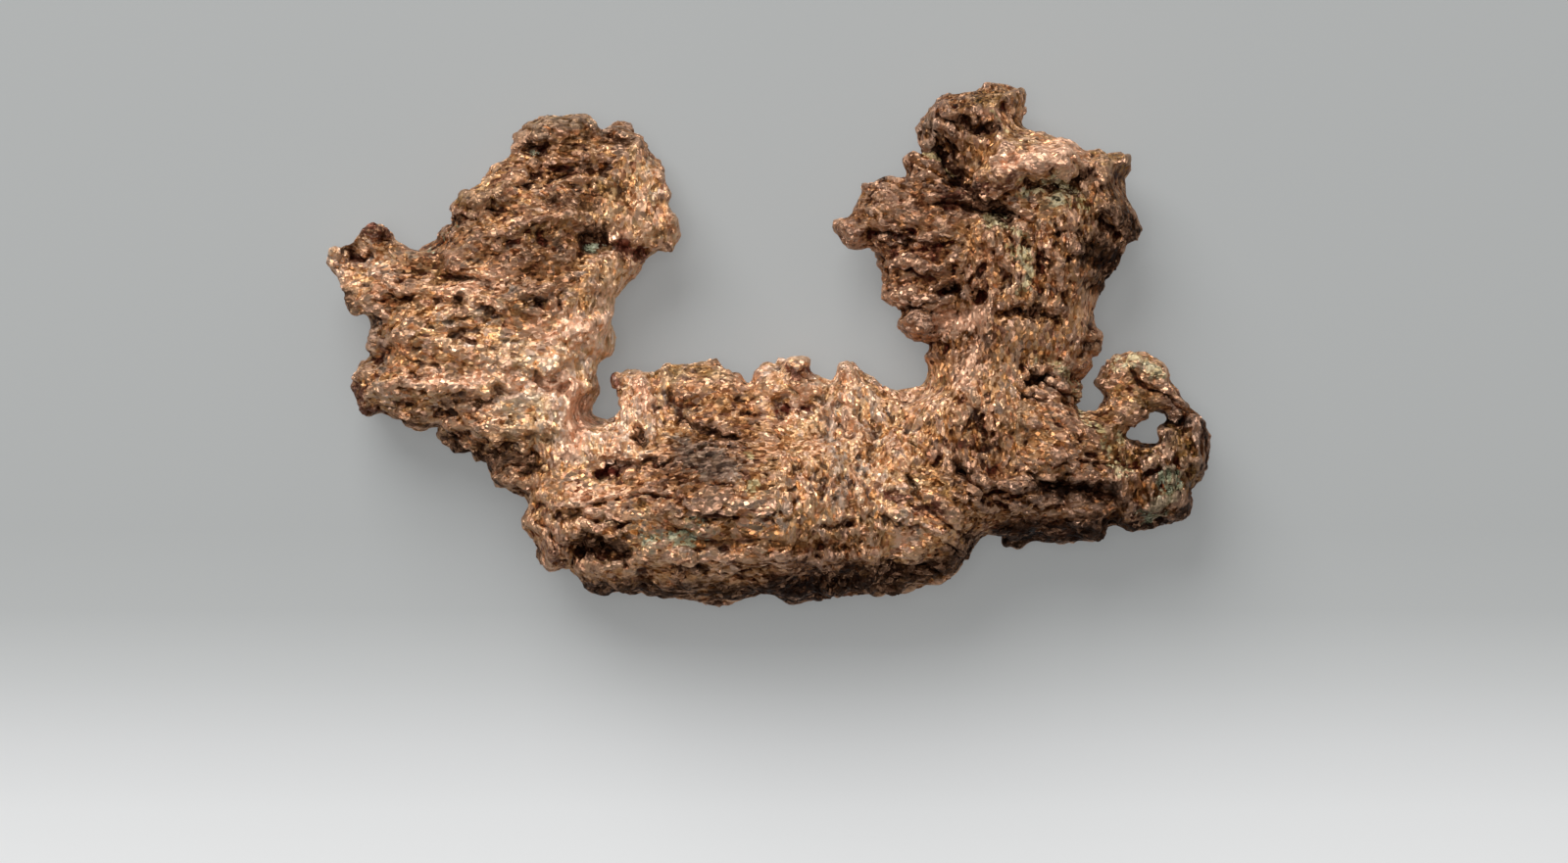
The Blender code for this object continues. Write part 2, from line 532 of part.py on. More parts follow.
def nugget_mesh():
    loops = outline_loops()
    slab = slab_mesh(loops)
    co = vertices(slab)
    move_vertices(slab, rounded(co, rim_distance(loops, co)))
    skin = remeshed(slab, SKIN_VOXEL)
    move_vertices(skin, with_relief(vertices(skin), normals(skin)))
    co = vertices(skin)
    co = rough(co, normals(skin), rim_distance(loops, co))
    co[:, 2] = np.maximum(co[:, 2], 0)
    move_vertices(skin, co)
    skin = with_modifier(skin, "TRIANGULATE")
    skin = with_modifier(skin, "DECIMATE", ratio=TRIANGLES / len(skin.polygons))
    co = vertices(skin)
    co[:, 2] = np.where(co[:, 2] < WORN_FLAT, 0, co[:, 2])
    move_vertices(skin, placed(co))
    return skin


def copper():
    material = bpy.data.materials.new("tarnished_copper")
    material.use_nodes = True
    shader = material.node_tree.nodes["Principled BSDF"]
    shader.inputs["Base Color"].default_value = COPPER_COLOUR
    shader.inputs["Roughness"].default_value = COPPER_ROUGHNESS
    shader.inputs["Metallic"].default_value = COPPER_METALLIC
    return material


def copper_nugget(collection):
    mesh = nugget_mesh()
    mesh.materials.clear()
    mesh.materials.append(copper())
    mesh.shade_smooth()
    nugget = bpy.data.objects.new(NODE, mesh)
    collection.objects.link(nugget)
    return nugget


clear_scene()
parts = bpy.data.collections.new(COLLECTION)
bpy.context.scene.collection.children.link(parts)
copper_nugget(parts)
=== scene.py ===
"""The looks of the native copper nugget: its hackly skin, tarnish and crusts, with painted shade and
highlight, on a pale floor in soft light.

The nugget is built again here as a finer mesh of the same form, and stands for the node copper_nugget.
Places and sizes are millimetres from the middle of the nugget's box, unless a comment says metres.
"""

import math

import bpy
import bmesh
import numpy as np
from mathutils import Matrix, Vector, kdtree, noise


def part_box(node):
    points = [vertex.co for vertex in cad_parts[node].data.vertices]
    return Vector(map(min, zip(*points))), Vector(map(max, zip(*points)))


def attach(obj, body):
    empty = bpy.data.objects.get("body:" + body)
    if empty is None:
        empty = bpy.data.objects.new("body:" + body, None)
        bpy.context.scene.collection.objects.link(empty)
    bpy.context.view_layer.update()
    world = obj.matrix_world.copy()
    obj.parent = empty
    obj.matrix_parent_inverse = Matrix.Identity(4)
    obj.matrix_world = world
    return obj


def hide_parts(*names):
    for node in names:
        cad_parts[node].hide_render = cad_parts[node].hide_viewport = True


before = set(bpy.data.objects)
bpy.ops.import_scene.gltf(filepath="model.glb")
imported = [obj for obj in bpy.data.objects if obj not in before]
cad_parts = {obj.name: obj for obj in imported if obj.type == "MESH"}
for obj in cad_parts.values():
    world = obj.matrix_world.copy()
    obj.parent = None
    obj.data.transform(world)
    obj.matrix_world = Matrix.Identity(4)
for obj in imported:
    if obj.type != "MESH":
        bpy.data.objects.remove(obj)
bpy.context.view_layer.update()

NODE = "copper_nugget"
MM = 0.001

SLAB_THICKNESS = 16.0  # of the flat slab that is pressed into the nugget's form
SLAB_VOXEL = 0.35      # size of the mesh's quads: of the slab, of the rough form and of the fine skin
SKIN_VOXEL = 0.3
FINE_VOXEL = 0.19
TRIANGLES = 196000     # in the finished mesh
TOP_SPARED = 4.0       # how much longer the decimation spares the top than the underside
UNDERSIDE_WEIGHTS = (0.3, 0.1)     # the decimation's weight on upright walls, and its least, on the top
CREASE_ANGLE = 8       # degrees from which an edge of the mesh is shaded sharp

# The outline seen from above, in stretches that follow each other clockwise from the left ear.
OUTLINE = {
    "left ear": [
        (-48, 8.7), (-47.6, 10), (-46.4, 10.8), (-45, 11.2), (-43.8, 12.1), (-42.8, 12.5), (-41.9, 12.2),
        (-41, 11.4), (-41.6, 10.9), (-40.5, 10.8), (-39.1, 10.2),
    ],
    "left shoulder": [
        (-37.6, 10.5), (-35.9, 10.8), (-35.3, 11.9), (-35, 12.6), (-34.4, 12.7), (-34.3, 14.1),
        (-34.3, 14.9), (-33.7, 15.4), (-33.2, 15.3), (-32.9, 16.3), (-32.1, 16.6), (-31.4, 16.7),
    ],
    "left crest": [
        (-30.8, 17.6), (-30, 18.7), (-29, 19.5), (-28.2, 20.1), (-27.9, 21.1), (-27.6, 21.9), (-26.7, 23.2),
        (-25.9, 24.2), (-25, 24.5), (-24.1, 25), (-22.8, 25.1), (-21.4, 25.2), (-19.9, 25.3), (-19.3, 24.8),
        (-18.8, 24.2), (-18.3, 23.1),
    ],
    "crest notch and knob": [
        (-17.9, 23), (-17.4, 23.2), (-17.1, 24), (-16.5, 24.5), (-15.4, 24.4), (-14.5, 23.8), (-14, 23.1),
        (-13.4, 22.4), (-12.9, 21.4), (-12.4, 20.5),
    ],
    "left arm inner edge": [
        (-11.8, 19.9), (-11, 19.2), (-10.6, 18.4), (-10.7, 17.5), (-10.3, 16.6), (-10.1, 15.9),
        (-10.4, 15.1), (-10.5, 14.5), (-9.8, 14.2), (-9.2, 13.5), (-9.3, 12.4), (-9.5, 11.7), (-10, 10.9),
        (-9.9, 10.2), (-10.1, 9.8), (-12, 9.6), (-12.4, 9.1), (-13.2, 8.6), (-14.1, 7.4), (-15.1, 6.4),
        (-16, 5.2), (-16.4, 4.6), (-16.5, 3.2), (-16.5, 2.1), (-16.2, 1.3), (-16.5, 0.3), (-16.5, -0.5),
        (-16.9, -1.4), (-17.6, -1.8), (-18.2, -2.2),
    ],
    "left notch": [
        (-18.2, -3.1), (-18, -4), (-17.9, -5.1), (-18.3, -6.1), (-19, -6.7), (-19, -7.4), (-18.7, -8.1),
        (-17.5, -8.2), (-16.3, -8), (-15.9, -7), (-16, -5.6), (-16.2, -5), (-16.9, -4.3), (-16.6, -3.8),
        (-16.2, -3.5),
    ],
    "bridge teeth": [
        (-15.7, -3.4), (-14.3, -3.1), (-13.5, -2.9), (-12.2, -3), (-11.3, -2.3), (-10.6, -2.2),
        (-9.9, -2.5), (-8.7, -2.2), (-8, -2.6), (-6.7, -2.6), (-5.6, -2.4), (-4.7, -2.8), (-3.9, -3.1),
        (-2.6, -3.1), (-2.3, -4.2), (-2.2, -5.1), (-1.6, -5.1), (-1.4, -4.3), (-1.2, -3.5), (-0.6, -2.9),
        (0.3, -2.6), (1.3, -2.4), (1.9, -1.6), (2.8, -1.3), (3.9, -1.4), (4.9, -1.7), (5.2, -2.4),
        (5, -3.2), (6, -3.4), (6.4, -3.9), (7.4, -3.9), (7.8, -3), (8.1, -2.3), (9, -2.2), (9.9, -2.5),
        (10.6, -3.4), (11.1, -3.9), (12.1, -4.1),
    ],
    "cove": [
        (12.8, -4.9), (14.3, -4.9), (15.7, -5), (16.9, -4.7), (17.3, -3.8), (17.4, -2.5), (17, -1.7),
        (17.1, -1.1), (17.5, -0.2), (16.7, 0), (15.8, 0.4), (15.2, 1.1), (14.2, 1.5), (14, 2.5),
        (14.7, 3.3),
    ],
    "right arm inner edge": [
        (13.8, 3.7), (13.1, 4.1), (13.1, 5), (12.5, 5.9), (12.7, 6.8), (12.5, 8.2), (12.4, 9.2),
        (11.8, 9.6), (11.3, 10.6),
    ],
    "left knob": [
        (10.6, 10.2), (9.2, 10.1), (8.5, 10.6), (8.1, 11.6), (7.6, 12.3), (7.5, 13), (8, 13.5), (8.7, 13.7),
        (9.1, 14.1), (9.4, 14.9), (9.8, 15.7), (10.3, 16.1), (10.1, 16.9), (10.6, 17.4), (11.4, 17.4),
        (12, 17.8), (12.9, 18), (14, 17.8), (15.1, 17.8),
    ],
    "small knob": [
        (15.4, 18.4), (15.2, 19.1), (14.9, 19.8), (15.3, 20.5), (16.1, 20.7), (16.5, 20.2), (17.1, 20.2),
    ],
    "upper knob": [
        (17.1, 20.9), (16.9, 22), (16.5, 22.8), (16.5, 23.5), (17.1, 23.8), (17.4, 24.5), (17.8, 25.4),
        (18.2, 26.3), (18.8, 26.8), (19.5, 27), (20.5, 26.8), (21.7, 27.1), (23.1, 27.2), (24.1, 27.8),
        (24.9, 28.2), (26.3, 28.3), (27.7, 28.1), (28.2, 27.6), (28.2, 26.9), (27.8, 26.6), (27.7, 25.9),
        (27.2, 25.3), (28.1, 25), (28, 24.6), (27.2, 24.4),
    ],
    "crown": [
        (27.9, 23.8), (28.5, 23.4), (29.5, 23.3), (30.3, 23), (30.4, 22.5), (31.1, 22.3), (32.3, 22.2),
        (33.3, 21.7), (33.9, 21), (34.8, 20.4), (35.6, 20.4),
    ],
    "right knob": [
        (36.7, 20.8), (37.8, 20.9), (39.1, 21.1), (39.9, 20.5), (40, 19.5), (39.9, 18.7), (39.3, 18.2),
        (38.8, 18.1), (39.1, 17.4), (39.4, 16.5), (39.5, 15.7), (39.9, 15.2),
    ],
    "right lump": [
        (40.5, 14.7), (40.9, 13.9), (41, 12.8), (40.7, 11.8), (40.2, 10.9), (39.4, 10.5), (39.1, 9.8),
        (38.7, 8.9), (38.5, 8), (37.6, 7.1), (36.9, 6.6), (36.7, 5.8), (35.8, 5.5),
    ],
    "right arm outer edge": [
        (35.6, 4.7), (35.6, 4.1), (35.4, 3.5), (35.9, 2.8), (35.9, 2.1), (35.7, 1.8), (36.6, 1.3),
        (36.8, 0.5), (36.1, -0.2), (35.8, -0.8), (35.4, -1.3), (35.2, -2.1), (35.5, -2.9), (35.2, -3.5),
        (34.4, -3.8),
    ],
    "right notch": [
        (33.9, -4.2), (33.9, -5.5), (33.8, -7), (34.4, -7.4), (35.4, -7.7), (36.1, -7.8), (36, -7.1),
        (36.7, -6.8), (36.9, -5.9), (36.6, -5.2), (36.1, -4.9), (35.7, -4.2), (36, -3.7), (36.5, -3.4),
    ],
    "loop": [
        (36.6, -2.5), (37.3, -2), (38.2, -1.7), (39, -1.6), (39.6, -1), (40.8, -1.3), (42.1, -1.6),
        (43.1, -2.2), (44, -3), (44.4, -4.1), (45, -5.1), (45.7, -6.1), (46.5, -6.9), (47.3, -7.6),
        (47.8, -8.6), (48, -10.1), (48.1, -11.7), (48, -13.4), (47.7, -14.5), (47.3, -15.7), (47, -17.1),
        (46.5, -18), (45.8, -18.9), (44.5, -19.4), (42.9, -19.9), (41.3, -20.2), (39.5, -20.5),
        (37.8, -20.2), (37.6, -19.8),
    ],
    "right foot": [
        (37.2, -20.5), (36.6, -21.2), (35.6, -21.4), (34.9, -21), (33.9, -21.4), (32.9, -21.9),
        (31.8, -22.3), (30.5, -22), (29.1, -21.8), (27.9, -22), (27, -22.3), (26.4, -21.8), (26, -21.2),
        (25.3, -21),
    ],
    "bar underside": [
        (24, -21.2), (23.2, -21.7), (22.8, -22.9), (22, -23.8), (21, -24.8), (19.8, -25.5), (18.9, -26.4),
        (17.7, -26.5), (17.1, -26.7), (15.9, -27.1), (14.3, -27.2), (12.7, -27.1), (11.1, -27.2),
        (9.5, -27.5), (8, -27.8), (6.9, -28), (5.3, -27.9), (4.1, -28.1), (3.2, -28.4), (1.1, -28.3),
        (-0.7, -28.1), (-2.6, -27.8), (-4.2, -28.2), (-5.8, -28.2), (-7.4, -28), (-8.7, -28.2),
        (-10.1, -28), (-11.1, -27.6), (-12.7, -27.5), (-13.5, -27), (-14.2, -27.5), (-15.2, -27.5),
        (-15.9, -26.9), (-17.1, -26.9), (-17.8, -27.2), (-18.8, -27), (-19.5, -26.3), (-20.5, -25.4),
        (-21, -25),
    ],
    "left foot": [
        (-21.4, -24.3), (-22.3, -24.6), (-23.1, -25.1), (-24.1, -24.6), (-24.8, -24), (-25.1, -23.1),
        (-25.3, -21.7), (-25.8, -20.8), (-26.5, -20), (-26.7, -19.1), (-26.3, -18.6), (-25.9, -17.8),
        (-26, -16.5),
    ],
    "left arm outer edge": [
        (-26.4, -16.2), (-27, -16.3), (-28, -15.9), (-29, -15.7), (-29.6, -15.1), (-30.1, -14.3),
        (-30.3, -13.7), (-31.1, -13.2), (-31.9, -12.7), (-32.8, -12.1), (-33.6, -11.4), (-34, -10.7),
        (-34.6, -10.6), (-35.1, -10), (-35.4, -9.3), (-36.4, -9.4), (-37.2, -9.8), (-38.3, -9.5),
        (-39.2, -8.9), (-40, -8.4), (-40.8, -8.3), (-41.4, -7.8), (-42.1, -7.7), (-43, -8.1), (-43.9, -7.6),
        (-44.4, -6.6), (-44.7, -5.4), (-44.7, -4.6), (-44.2, -3.9), (-44, -3.1), (-43.7, -2.2), (-43, -1.6),
        (-43.2, -0.5), (-43.5, 0.7), (-43.2, 2), (-43.5, 2.5), (-44.2, 3.1), (-44.8, 3.8), (-45.2, 4.8),
        (-45.7, 5.4), (-46.4, 6), (-47.1, 6.9), (-47.7, 7.7),
    ],
}
LOOP_HOLE = [
    (38.8, -10.3), (39.5, -10.6), (40.3, -10.6), (41, -11), (42.2, -10.9), (42.7, -10.5), (42.4, -10),
    (42.5, -9.4), (43, -8.9), (43.7, -8.5), (43.2, -7.6), (42.4, -7.5), (41.7, -7.8), (40.8, -8.3),
    (40.1, -8.9), (39.4, -9.8),
]
ARC_STEPS = 3          # points on the smooth curve for each point above
WELD = 0.001           # under which two points of the slab are one
RIM_SPACING = 0.1      # between the points from which the distance to the outline is measured

# Height of the top, height of the underside over the ground, and rounding radius of the rim: (x, y, value).
TOP_HEIGHTS = {
    "left ear tip": (-46.6, 9.2, 9.5),
    "left ear bowl": (-44.2, 8.7, 7.5),
    "left ear root": (-40.8, 6.6, 9),
    "left shoulder": (-36.6, 7.1, 10.5),
    "left arm middle": (-32.3, 0.7, 12.5),
    "left arm heart": (-23.8, 3.4, 13),
    "lower left corner": (-42.4, -5.1, 9.5),
    "lower left": (-36.6, -5.6, 12.5),
    "lower left slope": (-29.1, -12, 10.5),
    "left arm root": (-21.7, -8.3, 12),
    "left arm upper": (-26, 13.5, 11.5),
    "left crest": (-23.3, 21.4, 9),
    "crest knob": (-15.4, 21.9, 8.5),
    "left arm inner side": (-12.4, 13.5, 9.5),
    "left arm inner waist": (-17.7, 2.3, 10),
    "neck": (-19.1, -13, 12),
    "bridge left": (-13.8, -5.1, 9),
    "bridge middle": (-5.8, -5.1, 9),
    "bridge right": (3.2, -4.6, 9.5),
    "bridge knob": (9, -4.6, 9.5),
    "bridge end": (14.8, -7.2, 11),
    "bar left end": (-22.3, -19.9, 13.5),
    "left foot": (-23.8, -23.3, 11),
    "bar left": (-14.3, -17.8, 16),
    "bar middle left": (-4.8, -17.8, 17.5),
    "bar middle": (4.8, -17.3, 18),
    "bar middle right": (14.3, -17.3, 17.5),
    "bar right": (21.7, -15.7, 15.5),
    "bar low left": (-17.5, -25.2, 12),
    "bar low middle": (-4.8, -25.2, 14),
    "bar low right": (8, -25.2, 14),
    "bar low end": (18, -24.2, 13),
    "right arm root": (22.8, -8.8, 13.5),
    "right root outer": (30.7, -8.8, 13),
    "right foot upper": (32.3, -17.3, 12.5),
    "right foot": (31.3, -20.8, 9.5),
    "loop bottom": (40.8, -15.7, 11.5),
    "loop corner": (45.4, -16.2, 10),
    "loop outer side": (46.5, -10.4, 9.5),
    "loop crown": (41.9, -3.8, 9.5),
    "loop inner side": (37.8, -6.1, 9),
    "right arm inner": (18, 2.3, 11),
    "right arm middle": (27, 2.3, 12.5),
    "right arm outer": (34.2, 2.3, 11),
    "right arm upper inner": (15.4, 13.5, 11),
    "left knob": (9.4, 12.3, 8.5),
    "crown": (29.1, 18.8, 15.5),
    "crown hollow": (23.3, 16.6, 11.5),
    "upper knob": (21.5, 24.4, 14),
    "upper knob end": (26.6, 26.7, 12.5),
    "right knob": (38.3, 19.5, 11.5),
    "right lump": (38.5, 12.9, 13),
    "crown foot": (29.7, 11.3, 14),
}
UNDERSIDE_GAPS = {
    "left ear": (-45.9, 8.7, 4),
    "left arm": (-33.4, -1.9, -3),
    "left arm upper": (-23.8, 12.9, 0.2),
    "left crest": (-20.7, 22.5, 3.2),
    "inner side": (-12.2, 12.9, 3),
    "lower left": (-40.8, -6.1, 2),
    "lower slope": (-30.2, -11.4, 2.2),
    "neck": (-19.6, -12.5, 1.6),
    "bridge": (-6.9, -5.1, 3.5),
    "bridge right": (6.9, -4.6, 3.5),
    "bar left": (-15.4, -18.9, 0.8),
    "bar": (-0.5, -17.8, -1),
    "bar right": (14.3, -17.8, 0.4),
    "left foot": (-23.6, -23.3, 4),
    "right root": (24.9, -8.3, 1.2),
    "right foot": (31.3, -15.7, -2.4),
    "loop": (42.9, -4, 4),
    "loop outer": (46.6, -11.4, 3.2),
    "loop bottom": (41.9, -16.7, 2),
    "right arm": (24.9, 3.4, 1.5),
    "left knob": (9.5, 12.4, 4.5),
    "crown": (28.1, 16.1, -4),
    "upper knob": (21.7, 25.1, 3.5),
    "right knob": (38.3, 19.8, 4.5),
    "right lump": (38.7, 12.4, 3),
}
RIM_RADII = {
    "left ear": (-46.6, 9.2, 2.8),
    "left shoulder": (-37.6, 8.7, 3.2),
    "left crest": (-23.8, 23.5, 3.4),
    "inner side": (-10.1, 14, 3.2),
    "inner waist": (-16.4, 2.3, 3.2),
    "lower left": (-43.5, -5.1, 4.5),
    "lower slope": (-36.6, -9.3, 5),
    "lower slope end": (-29.1, -14.6, 5),
    "left foot": (-24.9, -23.6, 4),
    "bridge": (-9, -3, 2.4),
    "bridge right": (6.9, -3.5, 2.4),
    "cove": (15.4, -4, 3),
    "bar low": (-9, -27.3, 6),
    "bar low middle": (1.6, -27.6, 7),
    "bar low end": (16.4, -26.3, 6.5),
    "right foot": (31.3, -21.5, 4.2),
    "loop bottom": (41.9, -19.9, 3.5),
    "loop outer": (47.7, -11.4, 3),
    "loop crown": (41.9, -1.9, 3),
    "loop inner": (36.6, -5.1, 2.8),
    "right outer": (36, 2.3, 3.6),
    "right lump": (40.8, 12.9, 4),
    "right knob": (39.2, 20.4, 2.8),
    "crown": (31.3, 21.9, 4),
    "upper knob": (20.7, 26.7, 4),
    "left knob": (8.2, 12.4, 3),
    "right inner": (12.7, 6.6, 3.4),
}
TOP_BLEND = 4.5        # how far an anchor's value reaches
UNDER_BLEND = 7.0
RIM_BLEND = 6.0
EDGE_THICKNESS = 1.8   # of the rim's outermost edge
RIM_LEVEL = 0.45       # height of the rim between underside and top
RIM_WANDER = (0.34, 9)        # how far that height wanders along the outline, and seed
RADIUS_WANDER = (0.55, 8)     # how far the rim's radius wanders, as a share of it, and seed
WANDER_SIZE = 5.5

# Lumps and ledges (height over 0) and pits and crevices (under 0): (half width, height, places along it).
RELIEF = {
    "ear rim": (0.7, 1.6, [(-47.6, 9.3), (-46.4, 10.6), (-44.5, 11.4), (-42.1, 12.1)]),
    "ear wall": (0.7, 1, [(-47.8, 8.5), (-46.6, 6.4), (-45.3, 4.9)]),
    "ear bowl": (1.0, -2, [(-45, 9.1), (-43.8, 8.7)]),
    "crest lobe": (1.3, 1, [(-23.8, 23.5), (-20.7, 24)]),
    "crest pit": (0.8, -1.5, [(-25.4, 21.2), (-24.3, 21.1)]),
    "crest knob pits": (0.6, -1, [(-17.3, 22.3), (-15.2, 21.8)]),
    "shoulder shelf": (0.8, 1.1, [(-32.8, 15.5), (-30.5, 15.8), (-28.1, 16.1)]),
    "shoulder crevice": (0.5, -0.9, [(-33.8, 12.9), (-31.3, 13.6), (-28.1, 14.4)]),
    "upper ledge": (1.0, 0.9, [(-33.4, 9.5), (-29.1, 11.4), (-25.1, 12.7), (-20.7, 13.4)]),
    "inner lumps": (1.0, 1, [(-10.7, 18.4), (-10.5, 15.6), (-9.9, 12.7)]),
    "hollow": (1.4, -2.4, [(-19, 10.6), (-17.7, 11)]),
    "inner crevice": (0.4, -1, [(-16.6, 10.8), (-14.5, 10), (-12.7, 9.3)]),
    "middle ledge": (1.0, 1, [(-41.7, 5.5), (-37.6, 5.9), (-33.4, 4.9), (-28.1, 3.6)]),
    "middle crevice": (0.4, -0.8, [(-35.5, 4), (-32.5, 4), (-28.1, 2.3)]),
    "middle pit": (0.5, -0.9, [(-24.3, 4.6), (-21.9, 4.3)]),
    "waist ledge": (1.0, 0.8, [(-22.8, 0.4), (-19.6, 1.3), (-17.3, 2.3)]),
    "lower ledge": (1.1, 1, [(-41.7, 0), (-37.6, 0.8), (-33.4, -1.1), (-28.1, -2.1), (-22.8, -2.1)]),
    "sliver pit": (0.4, -0.7, [(-32.4, 0.2), (-31.9, 0)]),
    "long crevice": (0.4, -1,
        [(-35, -7), (-33.4, -6.1), (-30.2, -6.4), (-28.1, -5.5), (-24.9, -4.9), (-21.7, -5.1)]),
    "lower ledge two": (1.0, 1, [(-40.8, -5.1), (-36.6, -4.5), (-32.3, -4.9), (-28.1, -4)]),
    "corner knob": (1.3, 1.3, [(-43.4, -5.3), (-42.9, -6.4)]),
    "slope ledge": (0.8, 1, [(-36.6, -8.1), (-32.3, -9.3), (-28.1, -9.8), (-23.8, -9.3)]),
    "slope crevice": (0.7, -1.3, [(-34.2, -11), (-30.2, -12.1), (-24.9, -12.5)]),
    "slope foot": (0.7, 0.9, [(-29.7, -14.6), (-27, -15.3), (-25.4, -15.5)]),
    "neck ridge": (0.6, 0.9, [(-21.3, -4.2), (-20, -7.2), (-19.2, -10.6), (-18.3, -12.5)]),
    "neck ridge two": (0.5, 0.7, [(-23.2, -6.1), (-21.9, -9.3), (-20.7, -12.3)]),
    "notch rim": (0.5, 0.8, [(-15.8, -4.2), (-15.2, -6.4), (-15.4, -8.5)]),
    "bridge fold": (0.6, 0.8, [(-13, -3.6), (-12.6, -7.2), (-11.8, -10)]),
    "bridge hollow": (1.3, -1, [(-10.7, -6.6), (-8.6, -7.2)]),
    "bridge pit": (0.5, -2.4, [(-13.4, -10), (-13.1, -10.8)]),
    "bridge crack": (0.4, -1, [(-3, -5.9), (-2.2, -7.5)]),
    "red pit": (0.7, -2, [(-17.7, -14), (-15.4, -13.8)]),
    "bar crevice left": (0.4, -1.2, [(-17.3, -13.1), (-13.8, -13.4), (-10.3, -12.9)]),
    "bar crevice upper": (0.5, -1.2, [(-9, -8.9), (-6.7, -9.6), (-3.5, -10.6)]),
    "bridge hollow right": (1.0, -1.5, [(2, -6.8), (3.9, -7.2)]),
    "first tooth": (1.2, 1.8, [(2.6, -2.3), (4.3, -2.5)]),
    "second tooth": (1.0, 1.5, [(8.4, -3.2), (9.9, -3.6)]),
    "bar fold one": (0.7, 1, [(6.9, -7), (7.5, -10.4), (7.1, -14.2), (8.2, -18.2)]),
    "bar fold two": (0.6, 0.9, [(9.2, -6.4), (10.1, -10), (9.6, -13.8), (10.7, -17.8)]),
    "bar fold three": (0.6, 0.8, [(12.2, -6.6), (13.7, -9.8), (14.3, -13.6)]),
    "bar ledge": (1.0, 1, [(-10.1, -17.8), (-4.8, -17), (0.5, -17.8), (4.8, -17.4)]),
    "bar crevice middle": (0.5, -1, [(-22.2, -18.7), (-19, -18.7), (-15.4, -19.7)]),
    "big cavity": (0.8, -2.4, [(-19.8, -22.3), (-17.2, -22.5)]),
    "big cavity end": (0.6, -1.8, [(-17, -22.1), (-15.2, -23)]),
    "bar ledge low": (0.8, 1, [(-12.2, -22), (-6.9, -23.3), (-0.5, -22.7), (5.8, -23.5), (12.2, -22.7)]),
    "bar pit low": (0.6, -1.3, [(-8.6, -24), (-7.3, -24)]),
    "bar slit": (0.4, -1, [(6.1, -19.9), (8.6, -19.5)]),
    "foot fold": (0.7, 1, [(-25.4, -19.3), (-23.8, -21.2), (-22.6, -23.3)]),
    "foot crevice": (0.4, -0.9, [(-24.3, -19.3), (-22.6, -21.2), (-21.3, -22.7)]),
    "round pit": (0.75, -2.4, [(21, -14), (21.4, -14.2)]),
    "small red pit": (0.5, -1.3, [(17.9, -13.2), (18.2, -13.5)]),
    "striation one": (0.4, 0.8, [(12.7, -15.7), (15.9, -16.5), (18.8, -18)]),
    "striation two": (0.4, 0.8, [(13.5, -18.9), (16.4, -19.3), (19.2, -20.8)]),
    "inner arm crevice": (0.4, -1, [(11.7, 11.4), (14.1, 11.7), (16.4, 11.7)]),
    "inner arm pit": (0.6, -1.4, [(15.2, 10.4), (15.8, 10.3)]),
    "inner arm ledge one": (0.6, 0.9, [(12.8, 8.3), (15.9, 8.5), (18.8, 8.1)]),
    "inner arm ledge two": (0.6, 0.9, [(13.2, 5.1), (15.9, 5.3), (18.6, 4.9)]),
    "arm pit": (0.7, -1.6, [(19.2, 5.3), (20.2, 5.7)]),
    "arm pit two": (0.5, -1.2, [(22.8, 4.7), (23.4, 4.7)]),
    "inner arm lump": (1.3, 1, [(14.5, 1.9), (16.6, 1.5)]),
    "knob pits": (0.5, -1.2, [(18.8, 24), (21.2, 23.8), (23.8, 22.8)]),
    "knob notch": (0.6, -1.2, [(25.5, 25.7), (26, 25)]),
    "crown lump": (2.1, 3.2, [(25.8, 18.2), (29.4, 19.3), (33, 20.4)]),
    "crown trough": (1.0, -3.2, [(18.9, 20.7), (21.1, 17.2), (22.8, 14.6), (26, 13.4)]),
    "crown shadow": (0.7, -1.5, [(28.9, 16.7), (32.3, 16.5), (34.4, 17.4)]),
    "red lump": (1.3, 1.2, [(23.8, 16.1), (25.3, 16.5)]),
    "pink bump": (1.0, 1, [(36.8, 14.6), (37.4, 14.4)]),
    "black pit": (1.1, -2.4, [(36.4, 12.7), (36.8, 12.3)]),
    "black hollow": (1.6, -1.6, [(35.9, 8.9), (37, 8.5)]),
    "arm ridge": (0.8, 1, [(23.8, 11.3), (26, 8.2), (27, 4.5)]),
    "arm ridge two": (0.7, 0.9, [(30.2, 10.8), (31.5, 7.1), (31.1, 3.4)]),
    "arm crevice": (0.5, -1, [(26, 2.8), (28.6, 3.2), (31.3, 2.5)]),
    "arm crevice two": (0.4, -0.9, [(30.7, 11.6), (33, 11.8)]),
    "dark hollow": (0.7, -1.4, [(34.2, 0), (35.7, -0.4)]),
    "slot one": (0.6, -1.5, [(28.3, -4.5), (30.6, -4)]),
    "slot two": (0.4, -1.2, [(27.6, -6.4), (30.2, -6.1)]),
    "slot three": (0.5, -1, [(33.1, -4), (33.7, -4)]),
    "root fold": (0.7, 0.9, [(21.7, -5.1), (23.8, -7.2), (24.5, -10.4)]),
    "root bump": (0.8, 1, [(28.3, -8.5), (28.9, -8.7)]),
    "root bump two": (0.8, 1, [(31.1, -11.9), (31.7, -12.3)]),
    "foot band": (0.8, -1.5, [(29.1, -14.8), (32.3, -15.7), (36.1, -16.3)]),
    "foot lump": (1.0, 1, [(29.1, -20.5), (30.6, -20.8)]),
    "foot lump two": (0.8, 1, [(34.2, -20.4), (35.3, -20.5)]),
    "loop rim": (0.8, 0.9,
        [(37.6, -3.2), (40.3, -2.3), (42.9, -3.4), (44.8, -6.1), (46.7, -9.3), (47, -13.6)]),
    "loop hollow": (0.6, -1.1, [(43.6, -8.9), (45, -8.7)]),
    "loop pits": (0.5, -0.9, [(41, -14.4), (42.3, -14.4)]),
    "loop pit": (0.5, -0.9, [(44.3, -13.4), (44.7, -13.5)]),
}

RELIEF_GAIN = 2        # how fast the relief sets in with the normal's Z

